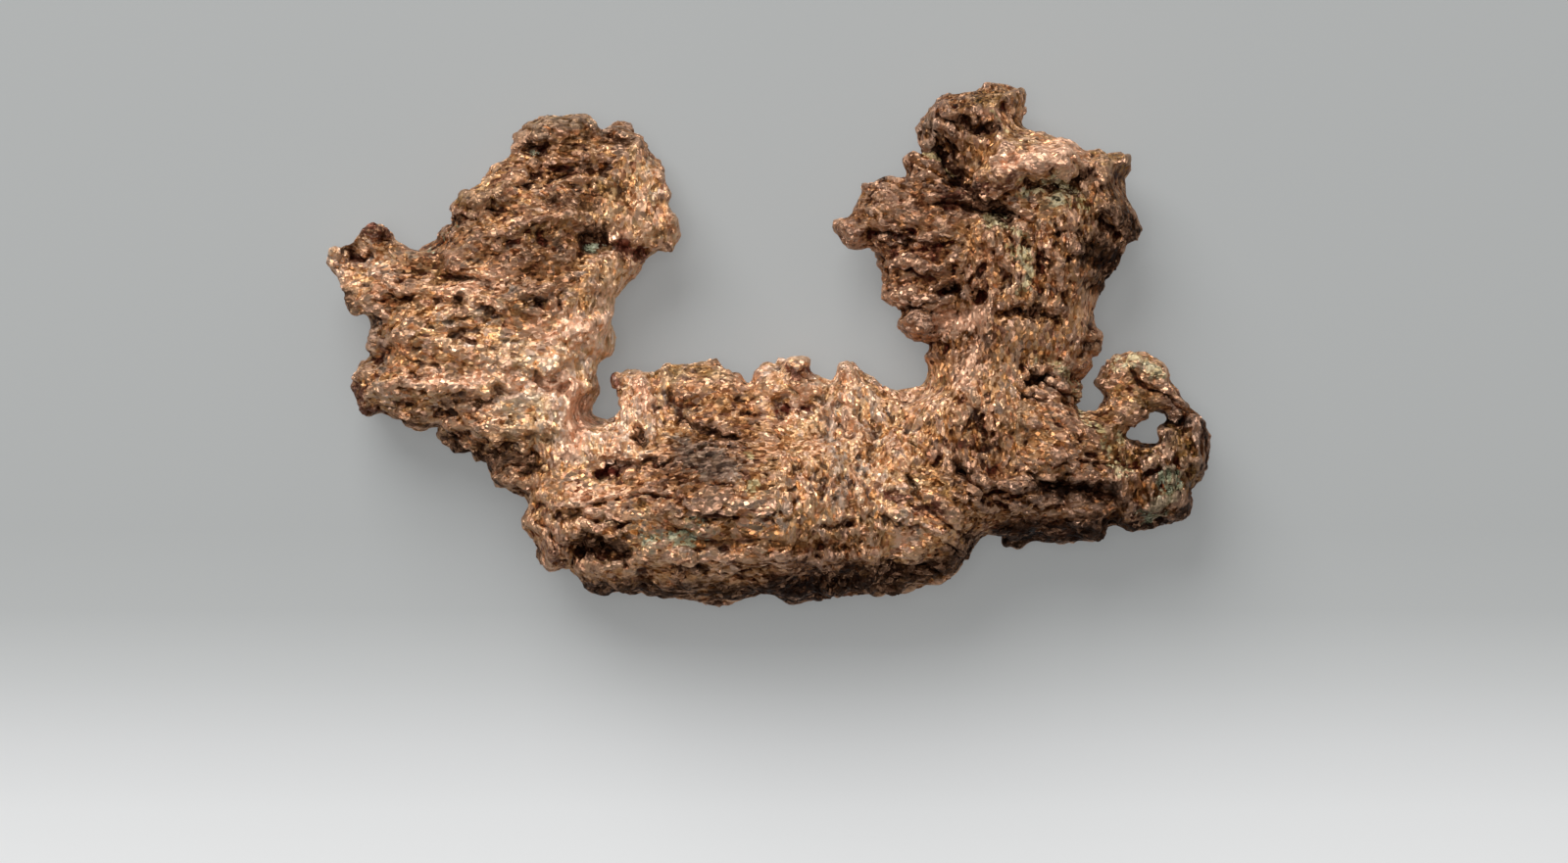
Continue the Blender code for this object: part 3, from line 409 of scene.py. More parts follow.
# Rough lumps all over: (size, height, seed). Along the left arm and the bar they are drawn out in X.
LUMPS = [(8.0, 1.2, 1), (4.2, 0.65, 2), (2.4, 0.12, 3)]
LUMP_STRETCH = 1.8
STRETCH_ENDS_AT = (12.0, 26.0)    # in X: from drawn out to even
RIM_SHARE = 0.12       # of the lumps' sideways height that is left on the rim, so that the outline stays
RIM_WIDTH = 2.5
WALL_BITES = (3.2, 1.3, 5)        # size, depth and seed of the hollows bitten into the steep sides
BITE_SHARES = (0.5, 0.8)          # how deep they are on the whole, and how much that varies
OUTWARD = 0.32         # how far the sides stand out, to make up for the bites

# Direction in which the grain is drawn out: (x, y, degrees from +X).
GRAIN = {
    "ear": (-45, 9.2, -28),
    "shoulder": (-36.6, 8.7, 0),
    "left arm upper": (-24.9, 17.2, 0),
    "crest": (-21.7, 23.5, 0),
    "inner side": (-12.2, 14.5, 125),
    "left arm middle": (-32.3, 3.4, 0),
    "left arm heart": (-23.8, 5.5, 0),
    "inner waist": (-18.6, 2.3, 75),
    "left arm lower": (-35.5, -4, 0),
    "lower right": (-24.9, -3.5, -28),
    "lower slope": (-32.3, -10.9, 0),
    "neck": (-20.7, -8.3, 125),
    "bridge left": (-13.2, -5.6, 75),
    "bridge": (-5.8, -5.1, 0),
    "bridge right": (3.7, -5.1, -28),
    "bar left": (-17.5, -17.8, 0),
    "bar": (-5.8, -13.6, 0),
    "bar low": (-4.8, -23.1, 0),
    "fold crown": (8.5, -6.1, 125),
    "fold": (8.2, -13.6, 75),
    "fold foot": (9.5, -18.9, 75),
    "bar right": (15.4, -17.8, -28),
    "bar end": (21.2, -22, -28),
    "bridge end": (15.4, -7.2, 75),
    "root": (23.8, -9.3, 75),
    "root outer": (31.3, -10.4, -28),
    "foot": (31.3, -18.9, 0),
    "loop": (42.9, -13.6, 75),
    "loop crown": (40.8, -3.5, -28),
    "inner arm": (15.4, 6.6, 0),
    "arm": (26, 5.5, 75),
    "arm outer": (34.4, 4.5, 75),
    "inner lobe": (13.8, 14.5, -28),
    "crown": (29.1, 19.3, -28),
    "upper knob": (22.8, 25.1, 125),
    "right lump": (38.2, 14, 75),
    "left foot": (-23.8, -22, 75),
}
GRAIN_DIRECTIONS = (0, 75, 125, -28)
UPRIGHT_DIRECTIONS = (75, 125)
LEAST_SHARE = 0.02     # of a grain direction at a point, under which it is left out there
GRAIN_BLEND = 4.0
GRAIN_STRETCH = 1.6

# The hackly skin is made of small ledges, creased facets and tilted grains: (size, height, seed).
LEDGES = [(3.6, 0.8, 31), (1.9, 0.3, 32), (1.0, 0.12, 33)]
LEDGE_SHARES = (1, 0.4, 0.4, 1)        # how high they are in each grain direction
LEDGE_WANDER = [(0.9, 1.7), (0.3, 0.5)]     # how far they wander and in what size, against their own size
LEDGE_PATCHES = (1.8, 0.55, 1.4)       # size of their patches against their own, usual share and contrast
LEDGE_DROP = 5         # how much steeper a ledge drops off than it rises
LEDGE_GROOVE = (0.5, 0.06)     # how deep the groove at its foot is, as a share of its height, and how wide
CREASED = [(4.2, 0.22, 11), (1.9, 0.15, 12), (0.95, 0.1, 13)]
CREASE_WAYS = [(0.9, 0.3, 0.3), (-0.4, 0.85, 0.35), (0.5, -0.7, 0.5), (-0.75, -0.3, 0.6)]
CREASE_WANDER = (1.2, 1.5)     # how far the creases wander and in what size, against their own size
GRAINS = [(0.7, 0.1, 22)]
GRAIN_TILT = 1.3
GRAIN_STEP = 0.35      # between one grain and the next
ROUGH_PATCHES = (4.0, 0.6, 1.8, 71)     # size, usual share, contrast and seed of rough and calm patches
ROUGH_RANGE = (0.15, 1.3)
FINE_RIM_SHARE = 0.85
BARE_CALM = 0.85       # how much lower the fine skin is where the metal is bare
RAGGED = [(1.8, 1.0, 61), (0.7, 0.5, 63)]     # how the strokes' edges wander: (size, distance, seed)
CAVITY_ROUNDS = (10, 60)     # smoothing rounds against which fine and broad hollows are told
CAVITY_GAINS = (1.5, 0.9)
TOP_MARGIN = (1.2, 0.3)      # in which the highest lumps are pressed down: below and above the CAD top

# Each seed reads the noise in a place of its own. The hash turns a grain's middle into four random values.
NOISE_OFFSET = np.array((31.7, 12.9, 7.3))
GRAIN_OFFSET = np.array((11.3, 23.9, 3.7))
HASH = np.array([[12.9, 78.2, 37.7], [39.3, 11.1, 83.1], [73.1, 52.2, 9.1], [27.3, 61.7, 45.2]])
HASH_GAIN = 43758.5453

# How far the metal is tarnished brown, from 0, bright, to 1, dark, and under 0 where it is polished.
# The values also paint light: painted shade where the form turns from the light, as on the bar's lower
# rim and the right foot, and painted highlight on lit parts, as on the neck: (x, y, value).
TARNISH_AND_SHADING = {
    "ear": (-45, 9.2, -0.1),
    "shoulder": (-36.6, 8.7, 0.9),
    "crest": (-22.8, 23.5, 0.6),
    "crest right": (-14.3, 23, 0.6),
    "arm upper": (-28.1, 16.1, 0.5),
    "inner side": (-13.8, 14.5, 0),
    "arm left rim": (-42.4, 0.2, 0.7),
    "arm middle": (-33.4, 3.4, -0.1),
    "arm heart": (-23.8, 5.5, 0.9),
    "inner waist": (-18.6, 1.3, -0.7),
    "arm lower": (-37.6, -5.1, 0.2),
    "lower right": (-24.9, -4, -0.55),
    "low slope": (-33.4, -12, 0.5),
    "slope root": (-26, -14.6, 0.6),
    "neck": (-20.7, -8.3, -0.65),
    "bar left top": (-12.7, -5.1, -0.05),
    "bridge": (-5.8, -4.6, 0.35),
    "bridge right": (4.8, -4.6, -0.3),
    "bar left": (-20.7, -18.9, 0.45),
    "bar grey": (-5.8, -11.4, 0.95),
    "bar middle": (0.5, -16.7, 0.3),
    "fold": (8.5, -12.5, 0.05),
    "bar right": (15.4, -17.8, -0.12),
    "bar end": (21.2, -22, 0.5),
    "bar low left": (-15.4, -23.1, 0.3),
    "bar low": (-4.8, -24.2, 0.5),
    "bar low right": (10.1, -24.2, 0.58),
    "bar rim": (3.7, -27.6, 1),
    "bar rim left": (-15.4, -26.3, 0.8),
    "bridge end": (15.4, -6.1, 0.1),
    "root": (23.8, -9.3, 0.3),
    "root outer": (31.3, -9.3, 0.55),
    "right foot": (30.2, -18.9, 0.85),
    "foot root": (21.7, -14.6, 1),
    "foot end": (38.7, -19.4, 0.8),
    "arm low": (18.6, 1.3, 0.9),
    "arm inner": (13.8, 5.5, 0.6),
    "inner lobe": (12.7, 14.5, 0.75),
    "arm middle right": (27, 7.6, 0.55),
    "arm outer": (34.4, 3.4, 0.5),
    "top lump": (29.1, 19.8, 0.2),
    "upper knob": (22.8, 25.1, 0.75),
    "outer lump": (38.2, 12.9, 0.65),
    "loop crown": (40.3, -3.5, 0.3),
    "loop rim": (46.1, -10.4, 1),
    "loop knob": (42.9, -16.7, 0.85),
    "loop foot": (35.5, -11.4, 0.6),
}
TARNISH_AND_SHADING_BLEND = 3.5
TOP_MASK = (2, 0.6)    # how fast zones and pits fade with the normal's Z, and their share on upright walls

# Where tarnish, crusts and bare metal lie on the top, and where shade is painted: the dark zone is dark
# tarnish and also painted shade in pits, crevices and along the bar's lower rim: (half width, strength,
# places along it).
ZONES = {
    # Dark tarnish, and painted shade in the pits and crevices and along the bar's lower rim.
    "dark": [
        (0.8, 0.8, [(-47.8, 8.2), (-46.5, 5.9), (-45, 4.2)]), (1.0, 0.6, [(-25.8, 21.4), (-24.1, 20.8)]),
        (0.7, 0.8, [(-17.5, 22.3), (-15.2, 21.6)]),
        (0.7, 0.5, [(-10.7, 18.7), (-10.3, 15.6), (-9.6, 12.7)]), (0.6, 0.8, [(-11.6, 10.2), (-9.9, 10.4)]),
        (1.3, 1, [(-19.2, 11.7), (-17.5, 12.1)]), (0.5, 0.6, [(-22.6, 9.5), (-22.2, 11.2)]),
        (0.5, 0.6, [(-35.5, 4), (-32.3, 4.1)]), (0.6, 0.8, [(-24.3, 4.5), (-21.7, 4.5)]),
        (0.5, 0.6, [(-32.6, 0.2), (-31.6, 0)]), (0.4, 0.6, [(-29.7, -0.7), (-26.5, -1.3)]),
        (0.5, 0.8, [(-35, -7), (-33.4, -6.1), (-30.2, -6.4), (-28.1, -5.5), (-24.9, -4.9), (-21.7, -5.1)]),
        (1.0, 0.6, [(-40.3, -7.8), (-38.2, -8.9), (-36, -9.1)]),
        (1.3, 0.9, [(-35.3, -10.4), (-32.3, -11.9), (-29.1, -13.1), (-25.4, -13.6)]),
        (0.7, 0.6, [(-30.2, -14.8), (-28.1, -16), (-26.4, -16)]), (0.5, 1, [(-13.4, -9.8), (-13.1, -10.9)]),
        (0.5, 0.7, [(-17.3, -13.1), (-13.8, -13.2), (-10.1, -12.9)]),
        (0.7, 0.9, [(-8.8, -8.7), (-6.7, -9.4), (-3.5, -10.6)]), (0.4, 0.9, [(-2.9, -5.9), (-2.2, -7.4)]),
        (0.6, 0.7, [(-22.5, -18.8), (-18.8, -18.6)]),
        (1.3, 1, [(-19.8, -22), (-17.5, -21.8), (-15.2, -22)]),
        (0.8, 0.7, [(-25.4, -22.3), (-24.1, -24.4)]),
        (1.4, 0.85, [(-20.7, -26.3), (-15.4, -27.1), (-9, -27.1), (-2.6, -27.1), (1.6, -27.1)]),
        (2.0, 0.95, [(1.6, -26.9), (5.8, -26.5), (10.1, -25.7), (15.4, -25), (19.6, -23.7), (22.6, -22)]),
        (0.8, 0.7, [(-9, -24), (-6.9, -24.2)]), (0.5, 0.8, [(6.4, -19.9), (8.5, -19.6)]),
        (1.0, 1, [(21.1, -14.1)]), (0.6, 0.8, [(15.4, 10.4)]), (0.7, 0.9, [(20, 5.8)]),
        (0.5, 0.9, [(18.8, 24), (21.1, 23.8), (23.4, 22.9), (24.7, 22.8)]),
        (0.8, 1, [(18.9, 20.7), (21.2, 17), (22.8, 14.5), (26, 13.1)]),
        (1.0, 1, [(21.9, 14.6), (26.5, 13.6)]), (0.8, 0.6, [(28.6, 16.7), (33.4, 16.7)]),
        (0.6, 0.9, [(33.8, 17.2), (34.9, 17.6)]), (1.3, 0.8, [(38.7, 13.6), (40.2, 11.7)]),
        (1.1, 1, [(36.6, 12.6)]), (1.9, 1, [(35.1, 9.8), (37.6, 8.7), (36.6, 7)]),
        (0.5, 0.7, [(30.7, 11.7), (32.9, 11.7)]), (0.5, 0.7, [(26, 2.8), (28.6, 3.1), (31.3, 2.6)]),
        (0.8, 0.8, [(34.2, 0), (36.1, -0.4)]), (0.6, 0.9, [(28.1, -4.5), (30.8, -4)]),
        (0.4, 0.9, [(27.5, -6.3), (30.2, -6.3)]), (0.5, 0.8, [(32.9, -4), (33.9, -4)]),
        (0.7, 0.9, [(42.9, -9.1), (45.5, -8.7)]), (0.5, 0.7, [(47.3, -8.3), (47.9, -12.5), (47.5, -15.2)]),
        (0.5, 0.7, [(44.5, -13.4)]), (0.6, 0.7, [(40.6, -14.4), (42.5, -14.4)]),
        (1.2, 1, [(29.1, -15.1), (32.3, -15.9), (37.4, -16.5)]),
        (1.8, 0.95, [(26.2, -21), (30.2, -20.8), (34.4, -20.6), (37.4, -19.9)]),
        (0.7, 0.8, [(38.7, -20), (42.9, -19.6), (45.9, -18.2)]), (1.3, 0.6, [(-22.8, 15.3), (-18.3, 14.8)]),
        (0.8, 0.6, [(-33.8, 13.1), (-31.1, 13.4)]), (0.7, 0.6, [(-19.8, 19.1)]), (0.6, 0.6, [(-19.1, 9.1)]),
        (0.6, 0.6, [(-21.4, 7.3)]), (2.1, 0.5, [(36.6, 16.1), (38.7, 13.5)]),
        (0.7, 0.6, [(23.6, 0.2), (24.1, -1.1)]),
    ],
    "red": [
        (0.8, 0.8, [(-46.6, 11.6), (-43.8, 12.2), (-41.4, 11.7)]),
        (0.6, 0.8, [(-16.2, 10.4), (-14.3, 9.6), (-12.8, 9)]),
        (1.0, 0.8, [(-44.4, -4.9), (-43.6, -7), (-42.1, -7.6)]), (0.7, 1, [(-17.9, -14), (-15.2, -13.9)]),
        (1.1, 0.7, [(1.9, -6.6), (4.3, -7.2)]), (0.7, 0.8, [(2.4, -2.8), (4.8, -3)]),
        (0.7, 0.6, [(-19.4, -22.9), (-18.1, -23.3)]), (0.5, 0.9, [(17.9, -13.4)]),
        (0.6, 0.7, [(12.7, -16.3), (15.9, -17), (18.8, -18.4)]), (0.5, 0.6, [(18, -10.6), (21.7, -10.8)]),
        (0.5, 0.8, [(11.7, 11.3), (16.4, 11.4)]), (0.5, 0.8, [(23.1, 4.7)]), (0.6, 0.9, [(25.8, 25.4)]),
        (1.1, 0.7, [(19.4, 15.7), (21.5, 14)]), (1.1, 0.6, [(23.3, 16.1), (25.8, 17)]),
        (1.0, 0.5, [(12.8, 9.5), (18.6, 9.5)]), (0.8, 0.5, [(12.8, 6.6), (18, 6.4)]),
        (0.6, 0.5, [(8.2, -22.3)]), (1.3, 0.5, [(10.1, -25), (18.6, -24)]),
        (0.8, 0.6, [(-23.8, -21.6), (-22.3, -23.5)]), (1.3, 0.4, [(28.1, -20.5), (33.4, -20.8)]),
        (0.5, 1, [(-16.7, -4.1), (-16, -4.9)]),
    ],
    "green": [
        (0.8, 0.9, [(-18.8, 10)]), (0.7, 0.8, [(-24.9, 21)]), (0.5, 0.7, [(-36.6, 10)]),
        (0.5, 0.7, [(-34.7, 11.3)]), (0.5, 0.6, [(-33.4, 12.6)]), (0.4, 0.7, [(-37.8, 0.6)]),
        (0.5, 0.7, [(-5.3, -20.2)]), (0.5, 0.6, [(0, -22.4)]),
        (1.5, 0.85, [(-12.2, -21.2), (-9, -21.2), (-7.1, -20.1)]), (0.4, 0.6, [(5.4, -18.7)]),
        (1.5, 1, [(41.7, -18.3), (43, -16.6), (44.2, -14.7)]), (0.6, 0.5, [(8.8, -21.6)]),
        (0.5, 0.6, [(-23.8, 9.5)]), (0.5, 0.5, [(-17.5, 10)]),
    ],
    "cream": [
        (0.8, 0.8, [(-1.8, -12.5)]), (0.9, 0.8, [(-1.4, -15.4)]), (0.5, 0.8, [(-0.7, -16.5)]),
        (0.5, 0.7, [(24.1, 24.4), (26, 22.5)]), (0.6, 0.8, [(17.5, 20), (20.1, 18.6)]),
        (0.5, 0.7, [(20.7, 16.5)]), (0.8, 0.7, [(27.6, 16.3), (31.3, 15.4), (34.4, 14.4)]),
        (0.8, 0.75, [(23.8, 13.1), (27.6, 11.7)]), (1.1, 0.7, [(27, 9.5), (28.6, 7.6), (27.6, 5.3)]),
        (0.4, 0.7, [(39.2, 14.7)]), (0.8, 0.6, [(31.3, -2.1), (33.2, -4.6), (33.9, -7)]),
        (0.8, 0.6, [(37.6, -2.8), (40.8, -2.3), (42.9, -3.8)]), (0.5, 0.8, [(38.7, -10.3)]),
        (0.5, 0.8, [(43.5, -10.6)]), (1.1, 0.6, [(34.7, -8.5), (36.6, -10.9), (38.5, -14.2)]),
        (1.3, 0.5, [(30.7, 17.2), (33.4, 16.1)]), (0.5, 0.5, [(28.3, -3), (29.4, -2.1)]),
    ],
    "grey": [
        (1.1, 0.7, [(-42.3, 1.7), (-41.7, -1.3)]), (0.7, 0.7, [(-28.6, 14.5)]),
        (0.6, 0.6, [(-41.9, 7.4), (-40, 7.2)]), (0.6, 0.6, [(-22.5, 10.8), (-22.5, 9.5)]),
        (0.5, 0.6, [(-32, -0.3)]), (1.1, 0.6, [(-11.1, -5.9), (-8.8, -7.8)]),
        (2.1, 0.8, [(-8.2, -11.7), (-4.2, -13.8)]), (0.7, 0.7, [(-8.8, -17.3)]),
        (1.0, 0.6, [(6.7, -7.7), (7.7, -12.5), (8.2, -17.8)]), (0.8, 0.5, [(9.9, -8.3), (10.5, -14.6)]),
        (1.0, 0.6, [(-13.8, -19.3), (-11.6, -19.9)]), (0.5, 0.7, [(19.1, 5)]),
        (1.1, 0.7, [(17.3, 23.3), (18.1, 20.6)]), (1.4, 0.5, [(36.4, 17.2), (38.7, 15.9)]),
        (1.3, 0.5, [(-1.6, -19.9), (1.6, -18.9)]), (0.8, 0.5, [(-12.4, -9.5), (-11.6, -11.2)]),
        (1.3, 0.5, [(31.9, -3), (32.5, -6.1)]), (1.1, 0.4, [(12.2, -7.2), (14.3, -10.4)]),
        (1.0, 0.5, [(-44, 2.3), (-42.9, 0.2)]), (1.0, 0.5, [(-4.8, -22), (-9, -22.6)]),
        (1.1, 0.45, [(-27.6, 5.5), (-25.4, 4.2)]), (1.1, 0.4, [(-35, 2.3), (-33.4, 0.2)]),
        (2.4, 0.5, [(-43, 3), (-42, -3.5)]), (2.4, 0.45, [(-27, 22.5), (-21, 24), (-15, 23)]),
        (1.8, 0.45, [(-47, 9), (-42, 9.3), (-36.5, 8.7)]), (1.5, 0.4, [(-13, 20), (-11, 16)]),
    ],
    "olive": [
        (1.5, 0.8, [(-24.9, 23.5), (-19.6, 24.4)]), (0.7, 0.8, [(-14.1, 20.4)]),
        (0.6, 0.9, [(-40.3, -3.3)]), (0.8, 0.9, [(-19.2, -4.2), (-18.3, -5.5)]),
        (1.0, 0.8, [(-11.1, -3.6), (-8.8, -3)]), (1.0, 0.7, [(-6.7, -3.4), (-4.3, -3.8)]),
        (0.6, 0.9, [(19.4, -4.3)]), (0.6, 0.9, [(19.1, -16)]), (0.7, 0.7, [(5.3, -17.3)]),
        (1.0, 0.7, [(-17.3, -19.1)]), (1.0, 0.6, [(-12.7, -17.8)]),
        (1.5, 0.7, [(-32.5, 15.7), (-28.1, 15.7)]), (1.4, 0.8, [(36.6, 19.7), (39.3, 20.1)]),
        (1.7, 0.6, [(22.8, 25.7), (27, 26.9)]), (1.1, 0.6, [(-18.6, 16.1), (-15.4, 17.2)]),
        (1.3, 0.5, [(16.4, -24.2), (18.6, -25.2)]), (1.5, 0.4, [(37.6, -5.1), (40.3, -4)]),
        (1.3, 0.5, [(-26, 11.9), (-19.6, 13.1)]), (1.3, 0.5, [(-37.6, 8.7), (-33.4, 6.6)]),
        (1.6, 0.6, [(38.5, -5.5), (42, -7.5), (45.5, -11.5), (46, -15)]),
        (1.4, 0.6, [(36.5, -9), (39, -12), (42.5, -13)]),
    ],
    "bare": [
        (2.3, 0.7, [(-24.3, 0.7), (-19, 1.8)]), (1.0, 0.8, [(-17.3, 11.6), (-14.8, 11.2)]),
        (1.6, 0.7, [(-28, -4), (-22.5, -4.7)]), (1.4, 1, [(-21.5, -4.2), (-20, -8.3), (-20.9, -12.1)]),
        (1.0, 1, [(-13.8, -4.2), (-13, -7.2)]), (1.5, 0.7, [(-38.2, -3.8), (-33.4, -4.2), (-28.1, -3)]),
        (1.7, 0.6, [(-33.4, 5.3), (-28.1, 7)]), (1.5, 0.9, [(18.8, 2.3), (22.8, 2.1)]),
        (1.9, 0.7, [(22.8, -1.1), (21.2, -4.2)]), (1.8, 0.85, [(26, 18.7), (29.1, 19.3), (32.8, 20.4)]),
        (1.0, 0.7, [(-44.6, 9.5), (-43.8, 8.5)]), (1.5, 0.6, [(-20.7, -16.5), (-15.4, -16.7)]),
        (1.0, 0.8, [(14.1, -21), (15.6, -20.8)]), (0.8, 0.8, [(2.4, -8.3), (1.6, -8.9)]),
        (1.5, 0.5, [(12.2, 15.6), (15.9, 14.5)]), (1.5, 0.5, [(-13.8, 15.6), (-12.2, 13.5)]),
        (1.3, 0.5, [(-23.8, -15.2), (-19.6, -15.7)]), (0.8, 0.8, [(9, -4)]),
        (1.5, 0.5, [(14.3, -6.1), (18.6, -6.4)]), (0.8, 0.7, [(28.7, -8.6)]), (0.8, 0.7, [(31.3, -12.1)]),
        (0.8, 0.6, [(42.5, -12.5), (44, -11.7)]), (1.5, 0.4, [(33.4, 3.4), (34.4, 5.5)]),
        (1.9, 0.4, [(5.8, -11.4), (10.1, -10.9)]), (2.1, 0.4, [(-13.2, 5.5), (-17.5, 4.5)]),
    ],
}


def smooth_loop(points):
    """Points on a Catmull-Rom curve through the closed loop of points."""
    p = np.array(points, dtype=float)
    before, after, beyond = np.roll(p, 1, 0), np.roll(p, -1, 0), np.roll(p, -2, 0)
    steps = []
    for k in range(ARC_STEPS):
        t = k / ARC_STEPS
        steps.append(0.5 * (2 * p + (after - before) * t + (2 * before - 5 * p + 4 * after - beyond) * t**2
                            + (3 * p - before - 3 * after + beyond) * t**3))
    return np.stack(steps, 1).reshape(-1, 2)


def outline_loops():
    outer = [point for stretch in OUTLINE.values() for point in stretch]
    return [smooth_loop(outer), smooth_loop(LOOP_HOLE)]


def linked(name, data):
    """A new object in the scene."""
    made = bpy.data.objects.new(name, data)
    bpy.context.scene.collection.objects.link(made)
    return made


def evaluated_mesh(carrier):
    """The mesh that the object shows, with its modifiers applied. The object is deleted."""
    result = bpy.data.meshes.new_from_object(carrier.evaluated_get(bpy.context.evaluated_depsgraph_get()))
    bpy.data.objects.remove(carrier)
    return result


def with_modifier(mesh, kind, weights=None, **settings):
    """The mesh with one modifier applied. The weights go in a vertex group named part."""
    carrier = linked("carrier", mesh)
    if weights is not None:
        group = carrier.vertex_groups.new(name="part")
        steps = np.round(weights * 10) / 10
        for step in np.unique(steps):
            group.add(np.flatnonzero(steps == step).tolist(), float(step), "REPLACE")
    modifier = carrier.modifiers.new(kind, kind)
    for name, value in settings.items():
        setattr(modifier, name, value)
    return evaluated_mesh(carrier)


def remeshed(mesh, voxel):
    return with_modifier(mesh, "REMESH", mode="VOXEL", voxel_size=voxel)


def slab_mesh(loops):
    """The slab in the nugget's outline, its loop's hole cut through, as an even mesh of small quads."""
    curve = bpy.data.curves.new("outline", "CURVE")
    curve.dimensions = "2D"
    curve.fill_mode = "BOTH"
    curve.extrude = SLAB_THICKNESS / 2
    for loop in loops:
        spline = curve.splines.new("POLY")
        spline.points.add(len(loop) - 1)
        flat = np.column_stack([loop, np.zeros(len(loop)), np.ones(len(loop))])
        spline.points.foreach_set("co", flat.ravel())
        spline.use_cyclic_u = True
    mesh = evaluated_mesh(linked("outline", curve))
    bm = bmesh.new()
    bm.from_mesh(mesh)
    bmesh.ops.remove_doubles(bm, verts=bm.verts, dist=WELD)
    bmesh.ops.recalc_face_normals(bm, faces=bm.faces)
    bm.to_mesh(mesh)
    bm.free()
    return remeshed(mesh, SLAB_VOXEL)


def vertices(mesh):
    co = np.empty(len(mesh.vertices) * 3)
    mesh.vertices.foreach_get("co", co)
    return co.reshape(-1, 3)


def normals(mesh):
    no = np.empty(len(mesh.vertices) * 3)
    mesh.vertices.foreach_get("normal", no)
    return no.reshape(-1, 3)


def move_vertices(mesh, co):
    mesh.vertices.foreach_set("co", co.ravel())
    mesh.update()


def nearness(co, x, y, reach):
    return np.exp(-((co[:, 0] - x) ** 2 + (co[:, 1] - y) ** 2) / (2 * reach**2))


def blended(anchors, co, reach):
    """The anchors' values at each point, weighted by nearness."""
    total = np.zeros(len(co))
    weights = np.full(len(co), 1e-12)
    for x, y, value in anchors.values():
        weight = nearness(co, x, y, reach)
        total += weight * value
        weights += weight
    return total / weights


def rim_distance(loops, co):
    """Distance of each point to the outline, seen from above."""
    samples = []
    for loop in loops:
        for a, b in zip(loop, np.roll(loop, -1, 0)):
            count = max(1, math.ceil(np.hypot(*(b - a)) / RIM_SPACING))
            samples += [a + (b - a) * k / count for k in range(count)]
    tree = kdtree.KDTree(len(samples))
    for index, (x, y) in enumerate(samples):
        tree.insert((x, y, 0.0), index)
    tree.balance()
    return np.array([tree.find((x, y, 0.0))[2] for x, y in co[:, :2].tolist()])


def sideways_share(distance, rim_share):
    """The share of a height that is kept in X, Y and Z, less in X and Y near the outline."""
    sideways = rim_share + (1 - rim_share) * np.clip(distance / RIM_WIDTH, 0, 1)
    return np.column_stack([sideways, sideways, np.ones(len(distance))])


def lumpy(co, size, seed):
    """Smooth noise with lumps of about the given size, from -1 to 1."""
    return np.array([noise.noise(p) for p in (co / size + seed * NOISE_OFFSET).tolist()])


def rounded(co, distance):
    """The slab's points moved between the nugget's underside and top, with rounded rims."""
    flat = co * (1, 1, 0)
    top = blended(TOP_HEIGHTS, co, TOP_BLEND)
    under = blended(UNDERSIDE_GAPS, co, UNDER_BLEND)
    wander, seed = RADIUS_WANDER
    radius = blended(RIM_RADII, co, RIM_BLEND) * (1 + wander * lumpy(flat, WANDER_SIZE, seed))
    inward = np.clip(distance / radius, 0, 1)
    fullness = np.sqrt(1 - (1 - inward) ** 2)
    wander, seed = RIM_WANDER
    middle = under + (RIM_LEVEL + wander * lumpy(flat, WANDER_SIZE, seed)) * (top - under)
    half_edge = EDGE_THICKNESS / 2
    up = half_edge + (top - middle - half_edge) * fullness
    down = half_edge + (middle - under - half_edge) * fullness
    level = np.clip(co[:, 2] / (SLAB_THICKNESS / 2), -1, 1)
    shaped = co.copy()
    shaped[:, 2] = middle + np.where(level > 0, level * up, level * down)
    return shaped


def along(places, co):
    """Distance from each point to the line through the places, seen from above."""
    nearest = np.full(len(co), np.inf)
    for a, b in zip(places, places[1:] or places):
        a, b = np.array(a), np.array(b)
        way = b - a
        share = np.clip(((co[:, :2] - a) @ way) / max(way @ way, 1e-9), 0, 1)
        nearest = np.minimum(nearest, np.hypot(*(co[:, :2] - a - share[:, None] * way).T))
    return nearest


def strokes(rows, co, combine):
    """The strokes (half width, value, places) laid over each other at each point."""
    laid = np.zeros(len(co))
    flat = co[:, :2]
    for half_width, value, places in rows:
        corners = np.array(places)
        margin = 3 * half_width
        inside = (flat > corners.min(0) - margin) & (flat < corners.max(0) + margin)
        near = np.flatnonzero(np.all(inside, 1))
        stroke = value * np.exp(-((along(places, co[near]) / half_width) ** 2))
        laid[near] = combine(laid[near], stroke)
    return laid


def ragged(co):
    """The points shifted a little every which way, so that strokes read there get ragged edges."""
    shifted = co.copy()
    for size, distance, seed in RAGGED:
        shifted[:, 0] += distance * lumpy(co, size, seed)
        shifted[:, 1] += distance * lumpy(co, size, seed + 1)
    return shifted


def with_relief(co, facing):
    """Named lumps, ledges, pits and crevices on the top."""
    moved = co.copy()
    moved[:, 2] += strokes(RELIEF.values(), ragged(co), np.add) * np.clip(facing[:, 2] * RELIEF_GAIN, 0, 1)
    return moved


def rough(co, facing, distance):
    """Rough lumps all over, lower on the rims."""
    start, end = STRETCH_ENDS_AT
    even = np.clip((co[:, 0] - start) / (end - start), 0, 1)
    stretch = LUMP_STRETCH + (1 - LUMP_STRETCH) * even
    sampled = co * np.column_stack([1 / stretch, np.ones(len(co)), np.ones(len(co))])
    height = sum(amount * lumpy(sampled, size, seed) for size, amount, seed in LUMPS)
    bite_size, bite_depth, bite_seed = WALL_BITES
    usual, contrast = BITE_SHARES
    bites = bite_depth * np.clip(usual - contrast * lumpy(co, bite_size, bite_seed), 0, 1) - OUTWARD
    walls = facing * (1, 1, 0)
    return co + facing * height[:, None] * sideways_share(distance, RIM_SHARE) - walls * bites[:, None]


